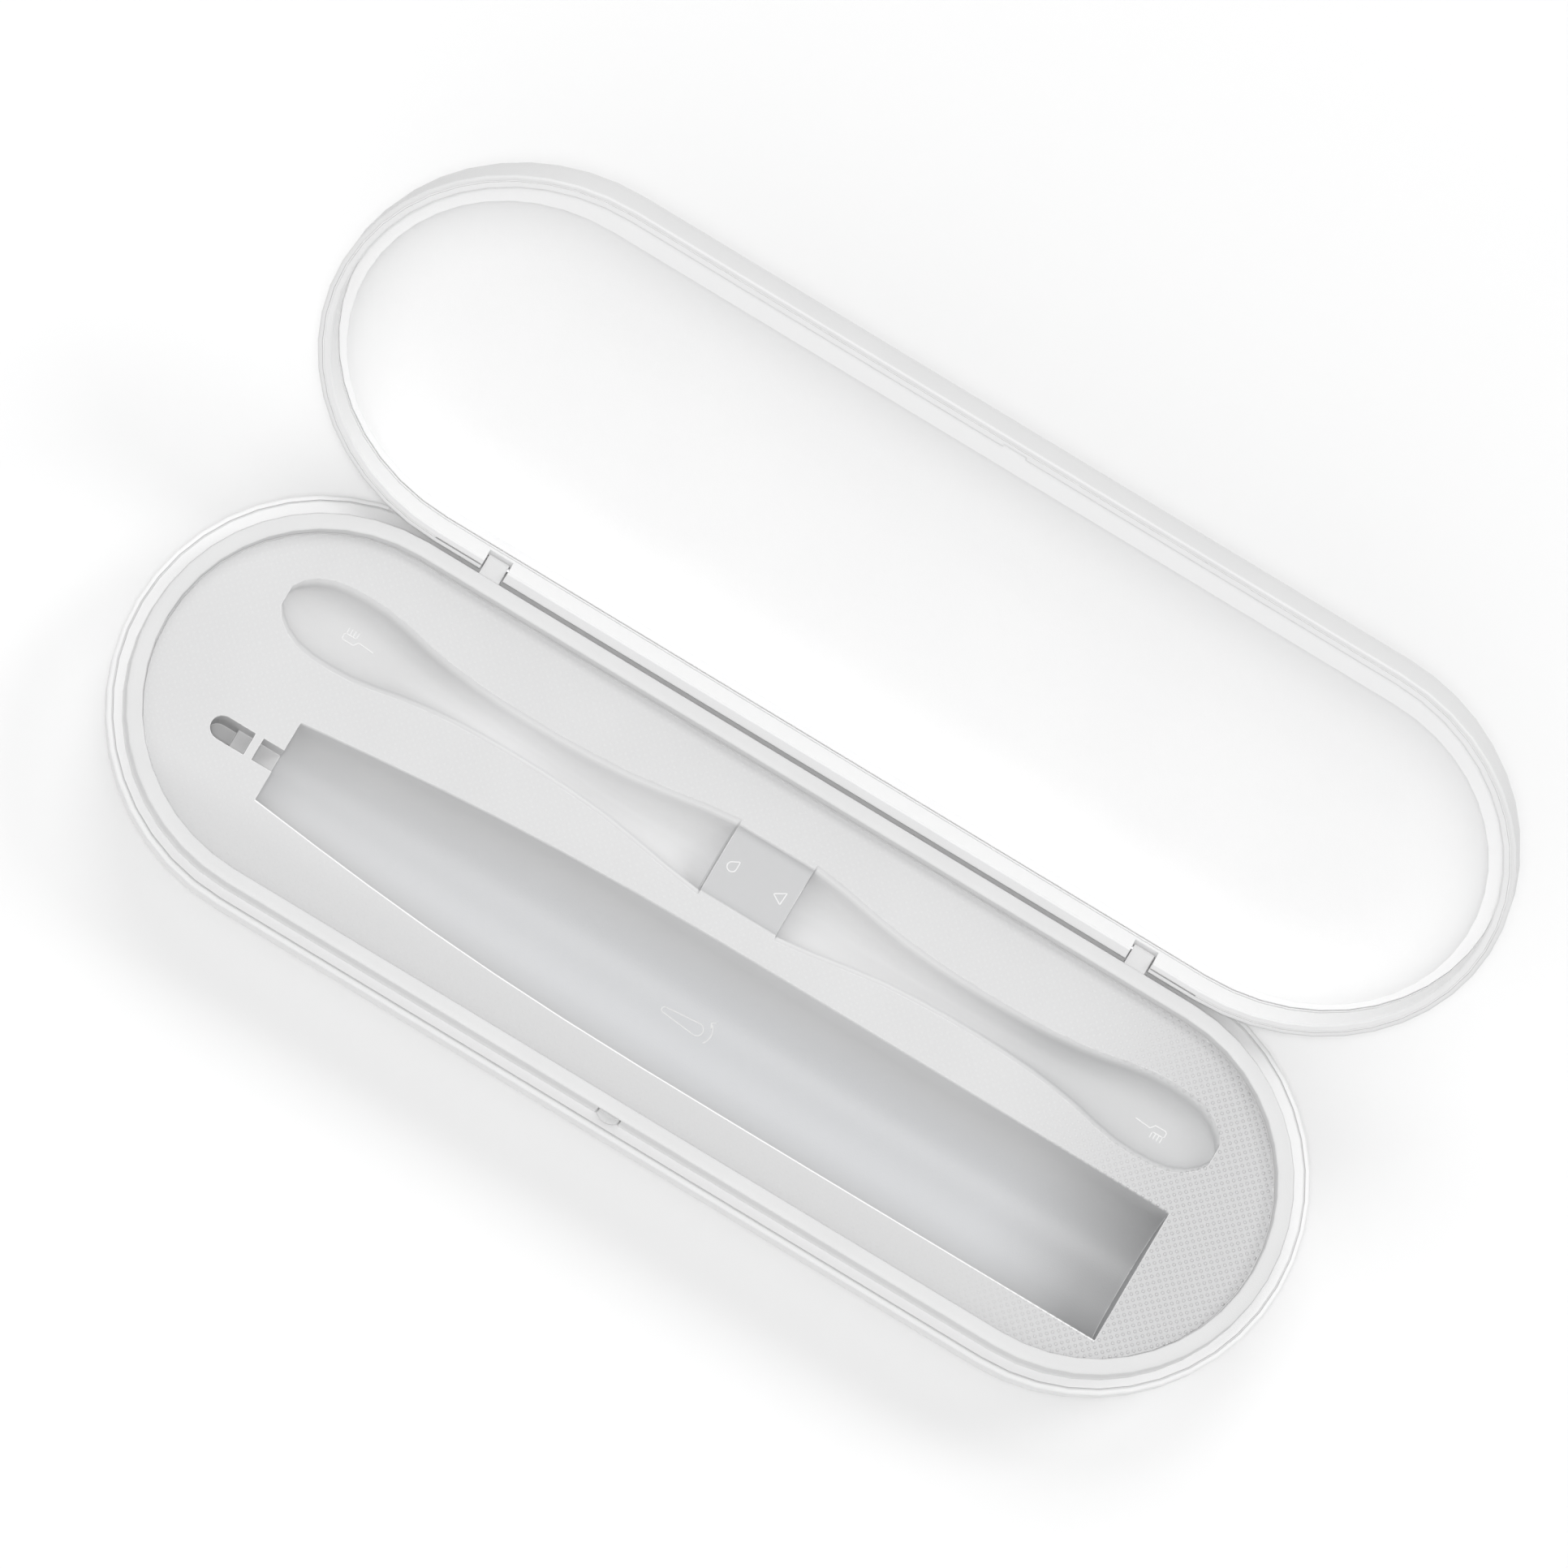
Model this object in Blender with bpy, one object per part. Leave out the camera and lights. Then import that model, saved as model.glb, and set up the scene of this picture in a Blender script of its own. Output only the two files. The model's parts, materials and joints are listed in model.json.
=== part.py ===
"""Travel case for an electric toothbrush, lid open at its stop.

The case is a long stadium. Its base shell carries a rim frame and a tray with
a bay for the handle, a slot for the drive shaft and two bays for spare brush
heads. Its lid shell carries a rim ring and a liner. The lid turns on two
steel pins in the back of the case.

Metres, +Z up. The origin is the centre of the flat underside, +X runs along
the case and +Y points to the hinge.
"""

import math

import bmesh
import bpy
from mathutils import Vector

for item in list(bpy.data.objects):
    bpy.data.objects.remove(item, do_unlink=True)

# Driving dimensions of the whole case
case_length = 0.240
case_width = 0.079
base_depth = 0.0205
lid_depth = 0.0155
open_angle = math.radians(135)

# Clearances and the overrun of cutters
fit_gap = 0.0003
overrun = 0.003
slot_overrun = 0.001

# Base shell, a deep bowl whose thin lip stands outside the rim frame
base_lip = 0.0009
base_wall = 0.0016
base_run = 0.0130
base_fullness = 2.1
edge_round = 0.0003

# Rim frame of the base: a ledge for the lid and a collar that goes inside it.
# The collar stands further in at the back, where the edge of the lid swings down.
ledge_thickness = 0.0016
collar_setback = 0.0018
collar_back_setback = 0.0033
collar_end_setback = 0.0020
collar_width = 0.0032
collar_height = 0.0046
collar_round = 0.0006
foot_width = 0.0010

# Tray and its deck
deck_drop = 0.0025
deck_thickness = 0.0018
bay_wall = 0.0012

# Gaps round the bays: from the deck's edge, and between the handle bay and the head bays
front_gap = 0.0078
middle_gap = 0.00675
back_gap = 0.0113
tip_gap = 0.0163
corner_gap = 0.0060

# Handle bay of the tray, whose length and width are what the gaps leave
handle_floor_height = 0.0066
handle_round = 0.0004
handle_width_shares = ((0.0, 0.60), (0.10, 0.745), (0.20, 0.865), (0.30, 0.945), (0.45, 1.0), (1.0, 1.0))
handle_depth_shares = ((0.0, 0.72), (0.30, 0.92), (0.6, 1.0), (1.0, 1.0))

# Slot and pocket for the drive shaft, to the left of the handle bay
slot_width = 0.0046
notch_length = 0.0043
notch_depth = 0.0050
bridge_length = 0.0017
shaft_pocket_length = 0.0080
shaft_pocket_depth = 0.0075
pocket_step_depth = 0.0045
pocket_step_share = 0.36

# Bays for two spare brush heads, either side of a saddle
head_bay_width = 0.0138
head_bay_depth = 0.0095
saddle_length = 0.0160
saddle_middle = 0.0015
saddle_depth = 0.0016
head_round = 0.0016
saddle_round = 0.0005
head_tip_share = 0.10
head_tip_least_share = 0.16
head_tip_depth_share = 0.35
head_width_shares = ((0.0, 0.80), (0.08, 0.91), (0.17, 0.95), (0.24, 0.82), (0.32, 0.60), (0.44, 0.44),
                     (0.62, 0.42), (0.78, 0.56), (0.90, 0.83), (1.0, 1.0))
head_depth_shares = ((0.0, 0.42), (0.10, 0.56), (0.30, 0.52), (0.55, 0.56), (0.80, 0.84), (1.0, 1.0))

# Front catch, a small nub on the collar, and the notch that it enters in the lid
catch_width = 0.0042
catch_height = 0.0034
catch_reach = 0.0009
catch_root = 0.0010
catch_foot = 0.0005
catch_taper = 0.75

# Lid shell, rim ring and liner
lid_wall = 0.0013
lid_lip = 0.0009
lid_run = 0.0145
lid_fullness = 2.5
lid_rim_height = 0.0048
lid_rim_width = 0.0013
liner_wall = 0.0008
liner_run_more = 0.0005
liner_fullness = 2.0
skirt_gap = 0.0006
shelf_height = 0.0058
dish_inset = 0.0058
dish_stretch = 0.0020
dish_shift = 0.0026

# Hinge: one long barrel in the back of the lid's rim, between two lugs on the collar.
# It lies above the parting plane and inside the outer wall, with a pin at each end.
hinge_end_gap = 0.0100
hinge_inset = 0.0012
hinge_rise = 0.0030
barrel_radius = 0.00095
lug_length = 0.0042
pin_radius = 0.0005
pin_length = 0.0094
pin_sunk = 0.0004
pin_gap = 0.00005

# Sizes worked out from the driving dimensions
half_width = case_width / 2
half_straight = (case_length - case_width) / 2
base_edge = fit_gap + base_lip
lid_edge = fit_gap + lid_lip
parting_height = base_depth
collar_outer = -(collar_setback + collar_back_setback) / 2
collar_inner = collar_outer - collar_width
collar_shift = (collar_setback - collar_back_setback) / 2
collar_stretch = -collar_outer - collar_end_setback
collar_top = parting_height + collar_height
deck_top = collar_top - deck_drop
deck_under = deck_top - deck_thickness
ledge_under = parting_height - ledge_thickness
lid_under = parting_height + fit_gap
lid_rise = lid_depth - fit_gap
hinge_across = half_width + max(base_edge, lid_edge) - hinge_inset
hinge_height = parting_height + hinge_rise
hinge_length = 2 * (half_straight - hinge_end_gap - lug_length - fit_gap)
bore_radius = pin_radius + pin_gap
pocket_radius = barrel_radius + fit_gap
swing_radius = math.hypot(hinge_inset, hinge_rise - fit_gap) + fit_gap
liner_run = lid_run + liner_run_more

# Places of the bays, from the deck's outline and the gaps round them
deck_offset = collar_inner - fit_gap
deck_half_width = half_width + deck_offset
deck_straight = half_straight + collar_stretch
head_bay_end = deck_straight + deck_half_width - tip_gap
head_bay_across = collar_shift + deck_half_width - back_gap - head_bay_width / 2
handle_bay_front = collar_shift - deck_half_width + front_gap
handle_bay_width = head_bay_across - head_bay_width / 2 - middle_gap - handle_bay_front
handle_bay_across = handle_bay_front + handle_bay_width / 2
handle_bay_depth = deck_top - handle_floor_height
round_reach = math.sqrt(deck_half_width ** 2 - (deck_half_width - front_gap) ** 2)
handle_bay_right_end = deck_straight + round_reach - corner_gap
bridge_start = shaft_pocket_length - head_bay_end
handle_bay_left_end = bridge_start + bridge_length + notch_length
handle_bay_length = handle_bay_right_end - handle_bay_left_end

arc_steps = 22
rise_steps = 8
round_steps = 24
pocket_steps = 10
catch_rows = 5
catch_columns = 10
handle_steps = 12
handle_crowding = 1.4
handle_fullness = 2.3
handle_section_steps = 12
head_steps = 18
head_crowding = 1.5
head_fullness = 2.0
head_section_steps = 10
head_hull_steps = 8


def material(name, colour, roughness, metallic=0.0):
    """A Principled material of one colour."""
    made = bpy.data.materials.new(name)
    made.use_nodes = True
    shader = made.node_tree.nodes["Principled BSDF"]
    shader.inputs["Base Color"].default_value = (*colour, 1.0)
    shader.inputs["Roughness"].default_value = roughness
    shader.inputs["Metallic"].default_value = metallic
    return made


def new_object(name, bm, made=None, parent=None):
    """An object from a bmesh, with its faces pointing out."""
    bmesh.ops.recalc_face_normals(bm, faces=bm.faces)
    mesh = bpy.data.meshes.new(name)
    bm.to_mesh(mesh)
    bm.free()
    item = bpy.data.objects.new(name, mesh)
    bpy.context.scene.collection.objects.link(item)
    if made:
        mesh.materials.append(made)
        mesh.shade_smooth()
        mesh.set_sharp_from_angle(angle=math.radians(30))
    else:
        item.hide_render = True
        item.display_type = "WIRE"
    if parent:
        item.parent = parent
    return item


def boolean(item, operation, other):
    """A Boolean modifier that joins or cuts item with another object."""
    modifier = item.modifiers.new(operation.title() + " " + other.name, "BOOLEAN")
    modifier.operation = operation
    modifier.solver = "EXACT"
    modifier.object = other


def outline(offset, stretch=0.0, shift=0.0):
    """Points of the case's stadium outline, grown by offset, counter-clockwise.

    stretch lengthens each half of its straight part and shift moves it to +Y.
    """
    radius = half_width + offset
    points = []
    for side, start in ((1, -math.pi / 2), (-1, math.pi / 2)):
        for step in range(arc_steps + 1):
            angle = start + math.pi * step / arc_steps
            points.append((side * (half_straight + stretch) + radius * math.cos(angle),
                           shift + radius * math.sin(angle)))
    return points


def sweep(name, rings, made=None, parent=None, origin=(0.0, 0.0, 0.0), ring_closed=False):
    """A closed solid of stadium rings, each an (offset, height) and maybe a stretch and a shift.

    The first and last rings are capped, or joined to each other for a hoop.
    """
    bm = bmesh.new()
    loops = []
    for offset, height, *place in rings:
        corners = [Vector((x, y, height)) - Vector(origin) for x, y in outline(offset, *place)]
        loops.append([bm.verts.new(corner) for corner in corners])
    count = len(loops[0])
    pairs = list(zip(loops, loops[1:]))
    if ring_closed:
        pairs.append((loops[-1], loops[0]))
    for low, high in pairs:
        for k in range(count):
            n = (k + 1) % count
            bm.faces.new((low[k], low[n], high[n], high[k]))
    if not ring_closed:
        bm.faces.new(loops[0])
        bm.faces.new(loops[-1])
    return new_object(name, bm, made, parent)


def bowl(edge, run, rise, height, fullness, start_share=0.0, direction=1):
    """Rings of a superelliptic bowl side, from its edge to its flat part.

    start_share is how much of the rise is left out next to the edge.
    """
    first = math.asin(start_share ** (fullness / 2))
    rings = []
    for step in range(rise_steps + 1):
        angle = first + (math.pi / 2 - first) * step / rise_steps
        across = math.cos(angle) ** (2 / fullness) if step < rise_steps else 0.0
        along = math.sin(angle) ** (2 / fullness)
        rings.append((edge - run * (1 - across), height + direction * rise * along))
    return rings


def cylinder(name, radius, length, middle, made=None, parent=None, origin=(0.0, 0.0, 0.0)):
    """A cylinder along X."""
    bm = bmesh.new()
    ends = []
    for side in (-1, 1):
        ring = []
        for step in range(round_steps):
            angle = 2 * math.pi * step / round_steps
            corner = Vector((side * length / 2, radius * math.cos(angle), radius * math.sin(angle)))
            ring.append(bm.verts.new(corner + Vector(middle) - Vector(origin)))
        ends.append(ring)
        bm.faces.new(ring)
    for k in range(round_steps):
        n = (k + 1) % round_steps
        bm.faces.new((ends[0][k], ends[0][n], ends[1][n], ends[1][k]))
    return new_object(name, bm, made, parent)


def box(name, low, high, parent=None, origin=(0.0, 0.0, 0.0)):
    """A box between two corners, used to join or to cut."""
    bm = bmesh.new()
    corners = bmesh.ops.create_cube(bm, size=1.0)["verts"]
    size = Vector(high) - Vector(low)
    middle = (Vector(high) + Vector(low)) / 2 - Vector(origin)
    for corner in corners:
        corner.co = Vector(part * length for part, length in zip(corner.co, size)) + middle
    return new_object(name, bm, None, parent)


def curve_share(table, place):
    """A smooth value at a place from 0 to 1, through a table's points."""
    index = max(k for k in range(len(table) - 1) if table[k][0] <= place)
    (p1, v1), (p2, v2) = table[index], table[index + 1]
    p0, v0 = table[max(index - 1, 0)]
    p3, v3 = table[min(index + 2, len(table) - 1)]
    t = (place - p1) / (p2 - p1)
    span = p2 - p1
    slope1 = (v2 - v0) / (p2 - p0) * span
    slope2 = (v3 - v1) / (p3 - p1) * span
    return ((2 * t ** 3 - 3 * t ** 2 + 1) * v1 + (t ** 3 - 2 * t ** 2 + t) * slope1
            + (3 * t ** 2 - 2 * t ** 3) * v2 + (t ** 3 - t ** 2) * slope2)


def trough_section(half, depth, rounding, top, fullness, steps):
    """Points across a trough, open upwards: rounded lips, then a full round floor.

    The lips stop short of level so that the deck cuts them cleanly.
    """
    lip_steps = 3
    lip_turn = math.radians(78)
    left = [(-half - rounding * (1 - math.cos(lip_turn)), top)]
    for step in range(lip_steps + 1):
        angle = lip_turn * (1 - step / lip_steps)
        left.append((-half - rounding * (1 - math.cos(angle)), -rounding * (1 - math.sin(angle))))
    floor = []
    for step in range(1, steps):
        angle = math.pi * step / steps
        across = -math.copysign(abs(math.cos(angle)) ** (2 / fullness), math.cos(angle))
        floor.append((half * across, -rounding - (depth - rounding) * math.sin(angle) ** (2 / fullness)))
    right = [(-y, z) for y, z in reversed(left)]
    return left + floor + right


def trough(name, stations, across, level, rounding, top, fullness, steps):
    """A lofted trough: each station is an (x, half width, depth)."""
    bm = bmesh.new()
    loops = []
    for x, half, depth in stations:
        section = trough_section(half, depth, rounding, top, fullness, steps)
        loops.append([bm.verts.new((x, across + y, level + z)) for y, z in section])
    count = len(loops[0])
    for low, high in zip(loops, loops[1:]):
        for k in range(count):
            n = (k + 1) % count
            bm.faces.new((low[k], low[n], high[n], high[k]))
    bm.faces.new(loops[0])
    bm.faces.new(loops[-1])
    return new_object(name, bm)


def handle_stations(more):
    """Stations of the handle bay, grown by a wall of thickness more."""
    stations = []
    steps = handle_steps
    for step in range(steps + 1):
        share = (step / steps) ** handle_crowding
        half = handle_bay_width / 2 * curve_share(handle_width_shares, share) + more
        depth = handle_bay_depth * curve_share(handle_depth_shares, share) + more
        end = {0: -more, steps: more}.get(step, 0.0)
        stations.append((handle_bay_left_end + handle_bay_length * share + end, half, depth))
    return stations


def head_stations(side, more):
    """Stations of a brush head bay from its tip to the saddle, grown by more."""
    saddle_end = saddle_middle + side * saddle_length / 2
    length = abs(side * head_bay_end - saddle_end)
    stations = []
    steps = head_steps
    for step in range(steps + 1):
        share = (step / steps) ** head_crowding
        tip = 1.0
        if share < head_tip_share:
            tip = math.sqrt(max(1 - (1 - share / head_tip_share) ** 2, head_tip_least_share ** 2))
        half = head_bay_width / 2 * curve_share(head_width_shares, share) * tip + more
        tip_depth = head_tip_depth_share + (1 - head_tip_depth_share) * tip
        depth = head_bay_depth * curve_share(head_depth_shares, share) * tip_depth + more
        end = {0: more, steps: -more}.get(step, 0.0)
        stations.append((side * (head_bay_end + end) - side * length * share, half, depth))
    return stations


def build_base_shell(made):
    """The outer shell of the base, with a thin lip round the rim frame."""
    outer = bowl(base_edge, base_run, base_depth, parting_height, base_fullness, direction=-1)
    rounded = [(base_edge, parting_height - edge_round), (base_edge - edge_round, parting_height)]
    shoulder = ledge_under - fit_gap
    inner_run = base_run - base_wall
    inner_rise = base_depth - base_wall
    inner = bowl(base_edge - base_wall, inner_run, inner_rise, parting_height, base_fullness,
                 (parting_height - shoulder) / inner_rise, direction=-1)
    rings = list(reversed(outer[1:])) + rounded + [(fit_gap, parting_height), (fit_gap, shoulder)] + inner
    shell = sweep("base_shell", rings, made)
    boolean(shell, "DIFFERENCE", swing_groove())
    return shell


def swing_groove():
    """The shallow groove in which the lower edge of the lid swings round the hinge."""
    if "swing_groove" not in bpy.data.objects:
        reach = math.sqrt((half_width + lid_edge) ** 2 - hinge_across ** 2)
        length = 2 * (half_straight + reach)
        cylinder("swing_groove", swing_radius, length, (0.0, hinge_across, hinge_height))
    return bpy.data.objects["swing_groove"]


def build_base_rim(made):
    """The rim frame: ledge, collar, the foot that carries the tray, and the lugs of the hinge."""
    easing = collar_round * (1 - math.cos(math.pi / 4))
    collar = [
        (collar_outer, parting_height),
        (collar_outer, collar_top - collar_round),
        (collar_outer - easing, collar_top - easing),
        (collar_outer - collar_round, collar_top),
        (collar_inner + collar_round, collar_top),
        (collar_inner + easing, collar_top - easing),
        (collar_inner, collar_top - collar_round),
        (collar_inner, deck_under - fit_gap),
        (collar_inner - foot_width, deck_under - fit_gap),
        (collar_inner - foot_width, ledge_under),
    ]
    rings = [(0.0, ledge_under), (0.0, parting_height)]
    rings += [(offset, height, collar_stretch, collar_shift) for offset, height in collar]
    frame = sweep("base_rim", rings, made, ring_closed=True)
    boolean(frame, "DIFFERENCE", swing_groove())
    start = hinge_length / 2 + fit_gap
    root = half_width - collar_back_setback - collar_width / 2
    for side, word in ((-1, "left"), (1, "right")):
        ends = sorted((side * start, side * (start + lug_length)))
        arm = box("lug_arm_" + word, (ends[0], root, hinge_height - barrel_radius),
                  (ends[1], hinge_across, hinge_height + barrel_radius))
        lug = cylinder("lug_" + word, barrel_radius, lug_length, (sum(ends) / 2, hinge_across, hinge_height))
        bore = cylinder("lug_bore_" + word, bore_radius, lug_length + 2 * overrun,
                        (sum(ends) / 2, hinge_across, hinge_height))
        boolean(arm, "UNION", lug)
        boolean(frame, "UNION", arm)
        boolean(frame, "DIFFERENCE", bore)
    pocket = box("catch_pocket",
                 (-catch_width / 2 - fit_gap, -half_width + collar_setback - overrun,
                  parting_height + catch_foot - fit_gap),
                 (catch_width / 2 + fit_gap, -half_width + collar_setback + catch_root + fit_gap,
                  parting_height + catch_foot + catch_height + fit_gap))
    boolean(frame, "DIFFERENCE", pocket)
    return frame


def build_front_catch(made):
    """The nub on the collar: widest at its foot, fading out towards the collar's top."""
    bm = bmesh.new()
    face = -half_width + collar_setback
    rows = []
    for row in range(catch_rows + 1):
        share = row / catch_rows
        height = parting_height + catch_foot + catch_height * share
        lens = catch_width / 2 * (1 - catch_taper * share)
        points = []
        for column in range(catch_columns + 1):
            x = catch_width * (column / catch_columns - 0.5)
            swell = max(0.0, 1 - (x / lens) ** 2) * (1 - share)
            points.append((x, face - catch_reach * swell, height))
        points += [(side * catch_width / 2, face + catch_root, height) for side in (1, -1)]
        rows.append([bm.verts.new(point) for point in points])
    count = len(rows[0])
    for low, high in zip(rows, rows[1:]):
        for k in range(count):
            n = (k + 1) % count
            bm.faces.new((low[k], low[n], high[n], high[k]))
    bm.faces.new(rows[0])
    bm.faces.new(rows[-1])
    return new_object("front_catch", bm, made)


def build_tray(made):
    """The tray: a deck with a handle bay, a shaft slot and two brush head bays."""
    rings = [(deck_offset, height, collar_stretch, collar_shift) for height in (deck_under, deck_top)]
    tray = sweep("tray", rings, made)
    hull_top = -deck_thickness / 2
    hulls = [
        trough("handle_hull", handle_stations(bay_wall), handle_bay_across, deck_top, handle_round,
               hull_top, handle_fullness, handle_section_steps),
        trough("head_hull_left", head_stations(-1, bay_wall), head_bay_across, deck_top, head_round,
               hull_top, head_fullness, head_hull_steps),
        trough("head_hull_right", head_stations(1, bay_wall), head_bay_across, deck_top, head_round,
               hull_top, head_fullness, head_hull_steps),
    ]
    hulls.append(box("shaft_hull",
                     (-head_bay_end - bay_wall, handle_bay_across - slot_width / 2 - bay_wall,
                      deck_top - shaft_pocket_depth - bay_wall),
                     (handle_bay_left_end - bay_wall / 2, handle_bay_across + slot_width / 2 + bay_wall,
                      deck_top + hull_top)))
    for hull in hulls:
        boolean(tray, "UNION", hull)
    saddle = [(saddle_middle + side * (saddle_length / 2 + slot_overrun), head_bay_width / 2, saddle_depth)
              for side in (-1, 1)]
    cuts = [
        trough("handle_bay", handle_stations(0.0), handle_bay_across, deck_top, handle_round,
               overrun, handle_fullness, handle_section_steps),
        trough("head_bay_left", head_stations(-1, 0.0), head_bay_across, deck_top, head_round,
               overrun, head_fullness, head_section_steps),
        trough("head_bay_right", head_stations(1, 0.0), head_bay_across, deck_top, head_round,
               overrun, head_fullness, head_section_steps),
        trough("saddle_dip", saddle, head_bay_across, deck_top, saddle_round, overrun, head_fullness,
               head_section_steps),
        box("shaft_notch",
            (handle_bay_left_end - notch_length, handle_bay_across - slot_width / 2, deck_top - notch_depth),
            (handle_bay_left_end + overrun, handle_bay_across + slot_width / 2, deck_top + overrun)),
        shaft_pocket("shaft_pocket_step", bridge_start, -head_bay_end, pocket_step_depth),
        shaft_pocket("shaft_pocket_deep", bridge_start - shaft_pocket_length * pocket_step_share,
                     -head_bay_end, shaft_pocket_depth),
    ]
    for cutter in cuts:
        boolean(tray, "DIFFERENCE", cutter)
    return tray


def shaft_pocket(name, right, left, depth):
    """A cutter with a square right end and a round left end."""
    bm = bmesh.new()
    radius = slot_width / 2
    points = [(right, radius), (right, -radius)]
    for step in range(pocket_steps + 1):
        angle = math.pi * step / pocket_steps
        points.append((left + radius - radius * math.sin(angle), -radius * math.cos(angle)))
    rows = [[bm.verts.new((x, handle_bay_across + y, height)) for x, y in points]
            for height in (deck_top - depth, deck_top + overrun)]
    for k in range(len(points)):
        n = (k + 1) % len(points)
        bm.faces.new((rows[0][k], rows[0][n], rows[1][n], rows[1][k]))
    bm.faces.new(rows[0])
    bm.faces.new(rows[1])
    return new_object(name, bm)


def build_pins(made):
    """The two hinge pins, each held in a lug and running in the barrel."""
    outer_end = hinge_length / 2 + fit_gap + lug_length - pin_sunk
    pins = []
    for side, word in ((-1, "left"), (1, "right")):
        middle = side * (outer_end - pin_length / 2)
        pins.append(cylinder("hinge_pin_" + word, pin_radius, pin_length,
                             (middle, hinge_across, hinge_height), made))
    return pins


def build_lid_shell(made, pivot, axis):
    """The outer shell of the lid, a shallow dome with a thin lip."""
    outer = bowl(lid_edge, lid_run, lid_rise, lid_under, lid_fullness)
    rounded = [(lid_edge, lid_under + edge_round), (lid_edge - edge_round, lid_under)]
    shoulder = lid_under + lid_rim_height + fit_gap
    inner_rise = lid_rise - lid_wall
    inner = bowl(lid_edge - lid_wall, lid_run - lid_wall, inner_rise, lid_under, lid_fullness,
                 (shoulder - lid_under) / inner_rise)
    rings = list(reversed(outer[1:])) + rounded + [(fit_gap, lid_under), (fit_gap, shoulder)] + inner
    shell = sweep("lid_shell", rings, made, pivot, axis)
    half = hinge_length / 2 + fit_gap + lug_length + fit_gap
    window = box("hinge_window", (-half, hinge_across - pocket_radius, lid_under - overrun),
                 (half, half_width + lid_edge + overrun, hinge_height + pocket_radius), pivot, axis)
    boolean(shell, "DIFFERENCE", window)
    return shell


def build_lid_rim(made, pivot, axis):
    """The rim ring of the lid, which closes round the collar and has the barrel in its back."""
    top = lid_under + lid_rim_height
    rings = [
        (0.0, lid_under),
        (0.0, top),
        (-lid_rim_width, top),
        (-lid_rim_width, lid_under + edge_round),
        (-lid_rim_width + edge_round, lid_under),
    ]
    ring = sweep("lid_rim", rings, made, pivot, axis, ring_closed=True)
    half = hinge_length / 2
    barrel = cylinder("hinge_barrel", barrel_radius, hinge_length + 2 * slot_overrun,
                      (0.0, hinge_across, hinge_height), None, pivot, axis)
    bar = box("hinge_bar", (-half - slot_overrun, half_width - lid_rim_width / 2, lid_under),
              (half + slot_overrun, half_width + lid_edge - edge_round, hinge_height), pivot, axis)
    boolean(bar, "UNION", barrel)
    boolean(ring, "UNION", bar)
    for side, word in ((-1, "left"), (1, "right")):
        ends = sorted((side * half, side * (half + lug_length + 2 * fit_gap)))
        gap = box("lug_gap_" + word, (ends[0], half_width - collar_back_setback, lid_under - overrun),
                  (ends[1], half_width + lid_edge + overrun, hinge_height + pocket_radius), pivot, axis)
        bore = cylinder("barrel_bore_" + word, bore_radius, pin_length,
                        (side * (half + overrun - pin_length / 2), hinge_across, hinge_height),
                        None, pivot, axis)
        boolean(ring, "DIFFERENCE", gap)
        boolean(ring, "DIFFERENCE", bore)
    notch = box("catch_notch",
                (-catch_width / 2 - fit_gap, -half_width + collar_setback - catch_reach - fit_gap,
                 lid_under - overrun),
                (catch_width / 2 + fit_gap, -half_width + collar_setback + overrun,
                 parting_height + catch_foot + catch_height + fit_gap), pivot, axis)
    boolean(ring, "DIFFERENCE", notch)
    return ring


def build_lid_liner(made, pivot, axis):
    """The liner of the lid: a skirt above the rim ring, a shelf over the collar and a dish.

    The dish is set towards the hinge, which leaves the shelf widest at the front.
    """
    place = (dish_stretch, dish_shift)
    start = lid_rim_height + fit_gap
    shell_rise = lid_rise - lid_wall
    shelf_top = shelf_height + liner_wall
    skirt = []
    for height in (shelf_top, (start + shelf_top) / 2, start):
        share = (1 - (height / shell_rise) ** lid_fullness) ** (1 / lid_fullness)
        offset = lid_edge - lid_wall - (lid_run - lid_wall) * (1 - share) - skirt_gap
        skirt.append((offset, lid_under + height))
    outer_rise = shell_rise - fit_gap - shelf_top
    outer = bowl(-dish_inset + liner_wall, liner_run, outer_rise, lid_under + shelf_top, liner_fullness)
    inner_rise = shell_rise - fit_gap - liner_wall - shelf_height
    inner = bowl(-dish_inset, liner_run, inner_rise, lid_under + shelf_height, liner_fullness)
    rings = [(offset, height, *place) for offset, height in reversed(outer)]
    rings += skirt + [(-lid_rim_width, lid_under + start), (-lid_rim_width, lid_under + shelf_height)]
    rings += [(offset, height, *place) for offset, height in inner]
    return sweep("lid_liner", rings, made, pivot, axis)


def build_case():
    """Every piece of the case, with the lid turned open about its hinge."""
    shell_white = material("shell_white", (0.87, 0.87, 0.87), 0.32)
    rim_grey = material("rim_grey", (0.80, 0.80, 0.80), 0.42)
    tray_grey = material("tray_grey", (0.72, 0.72, 0.73), 0.55)
    liner_white = material("liner_white", (0.88, 0.88, 0.88), 0.38)
    steel = material("pin_steel", (0.62, 0.62, 0.64), 0.28, 1.0)
    build_base_shell(shell_white)
    build_base_rim(rim_grey)
    build_tray(tray_grey)
    build_front_catch(rim_grey)
    build_pins(steel)
    axis = (0.0, hinge_across, hinge_height)
    pivot = bpy.data.objects.new("lid_pivot", None)
    bpy.context.scene.collection.objects.link(pivot)
    pivot.location = axis
    pivot.rotation_euler = (-open_angle, 0.0, 0.0)
    build_lid_shell(shell_white, pivot, axis)
    build_lid_rim(rim_grey, pivot, axis)
    build_lid_liner(liner_white, pivot, axis)


build_case()
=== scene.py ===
"""Looks of a travel case for an electric toothbrush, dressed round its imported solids.

The case lies open. Its base holds a pale grey tray with a bay for the handle and
two bays for spare brush heads, and its lid leans back on the hinge behind.
Each class below is one sub-assembly or one finish. Lengths are metres and +Z is up.
"""

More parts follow.
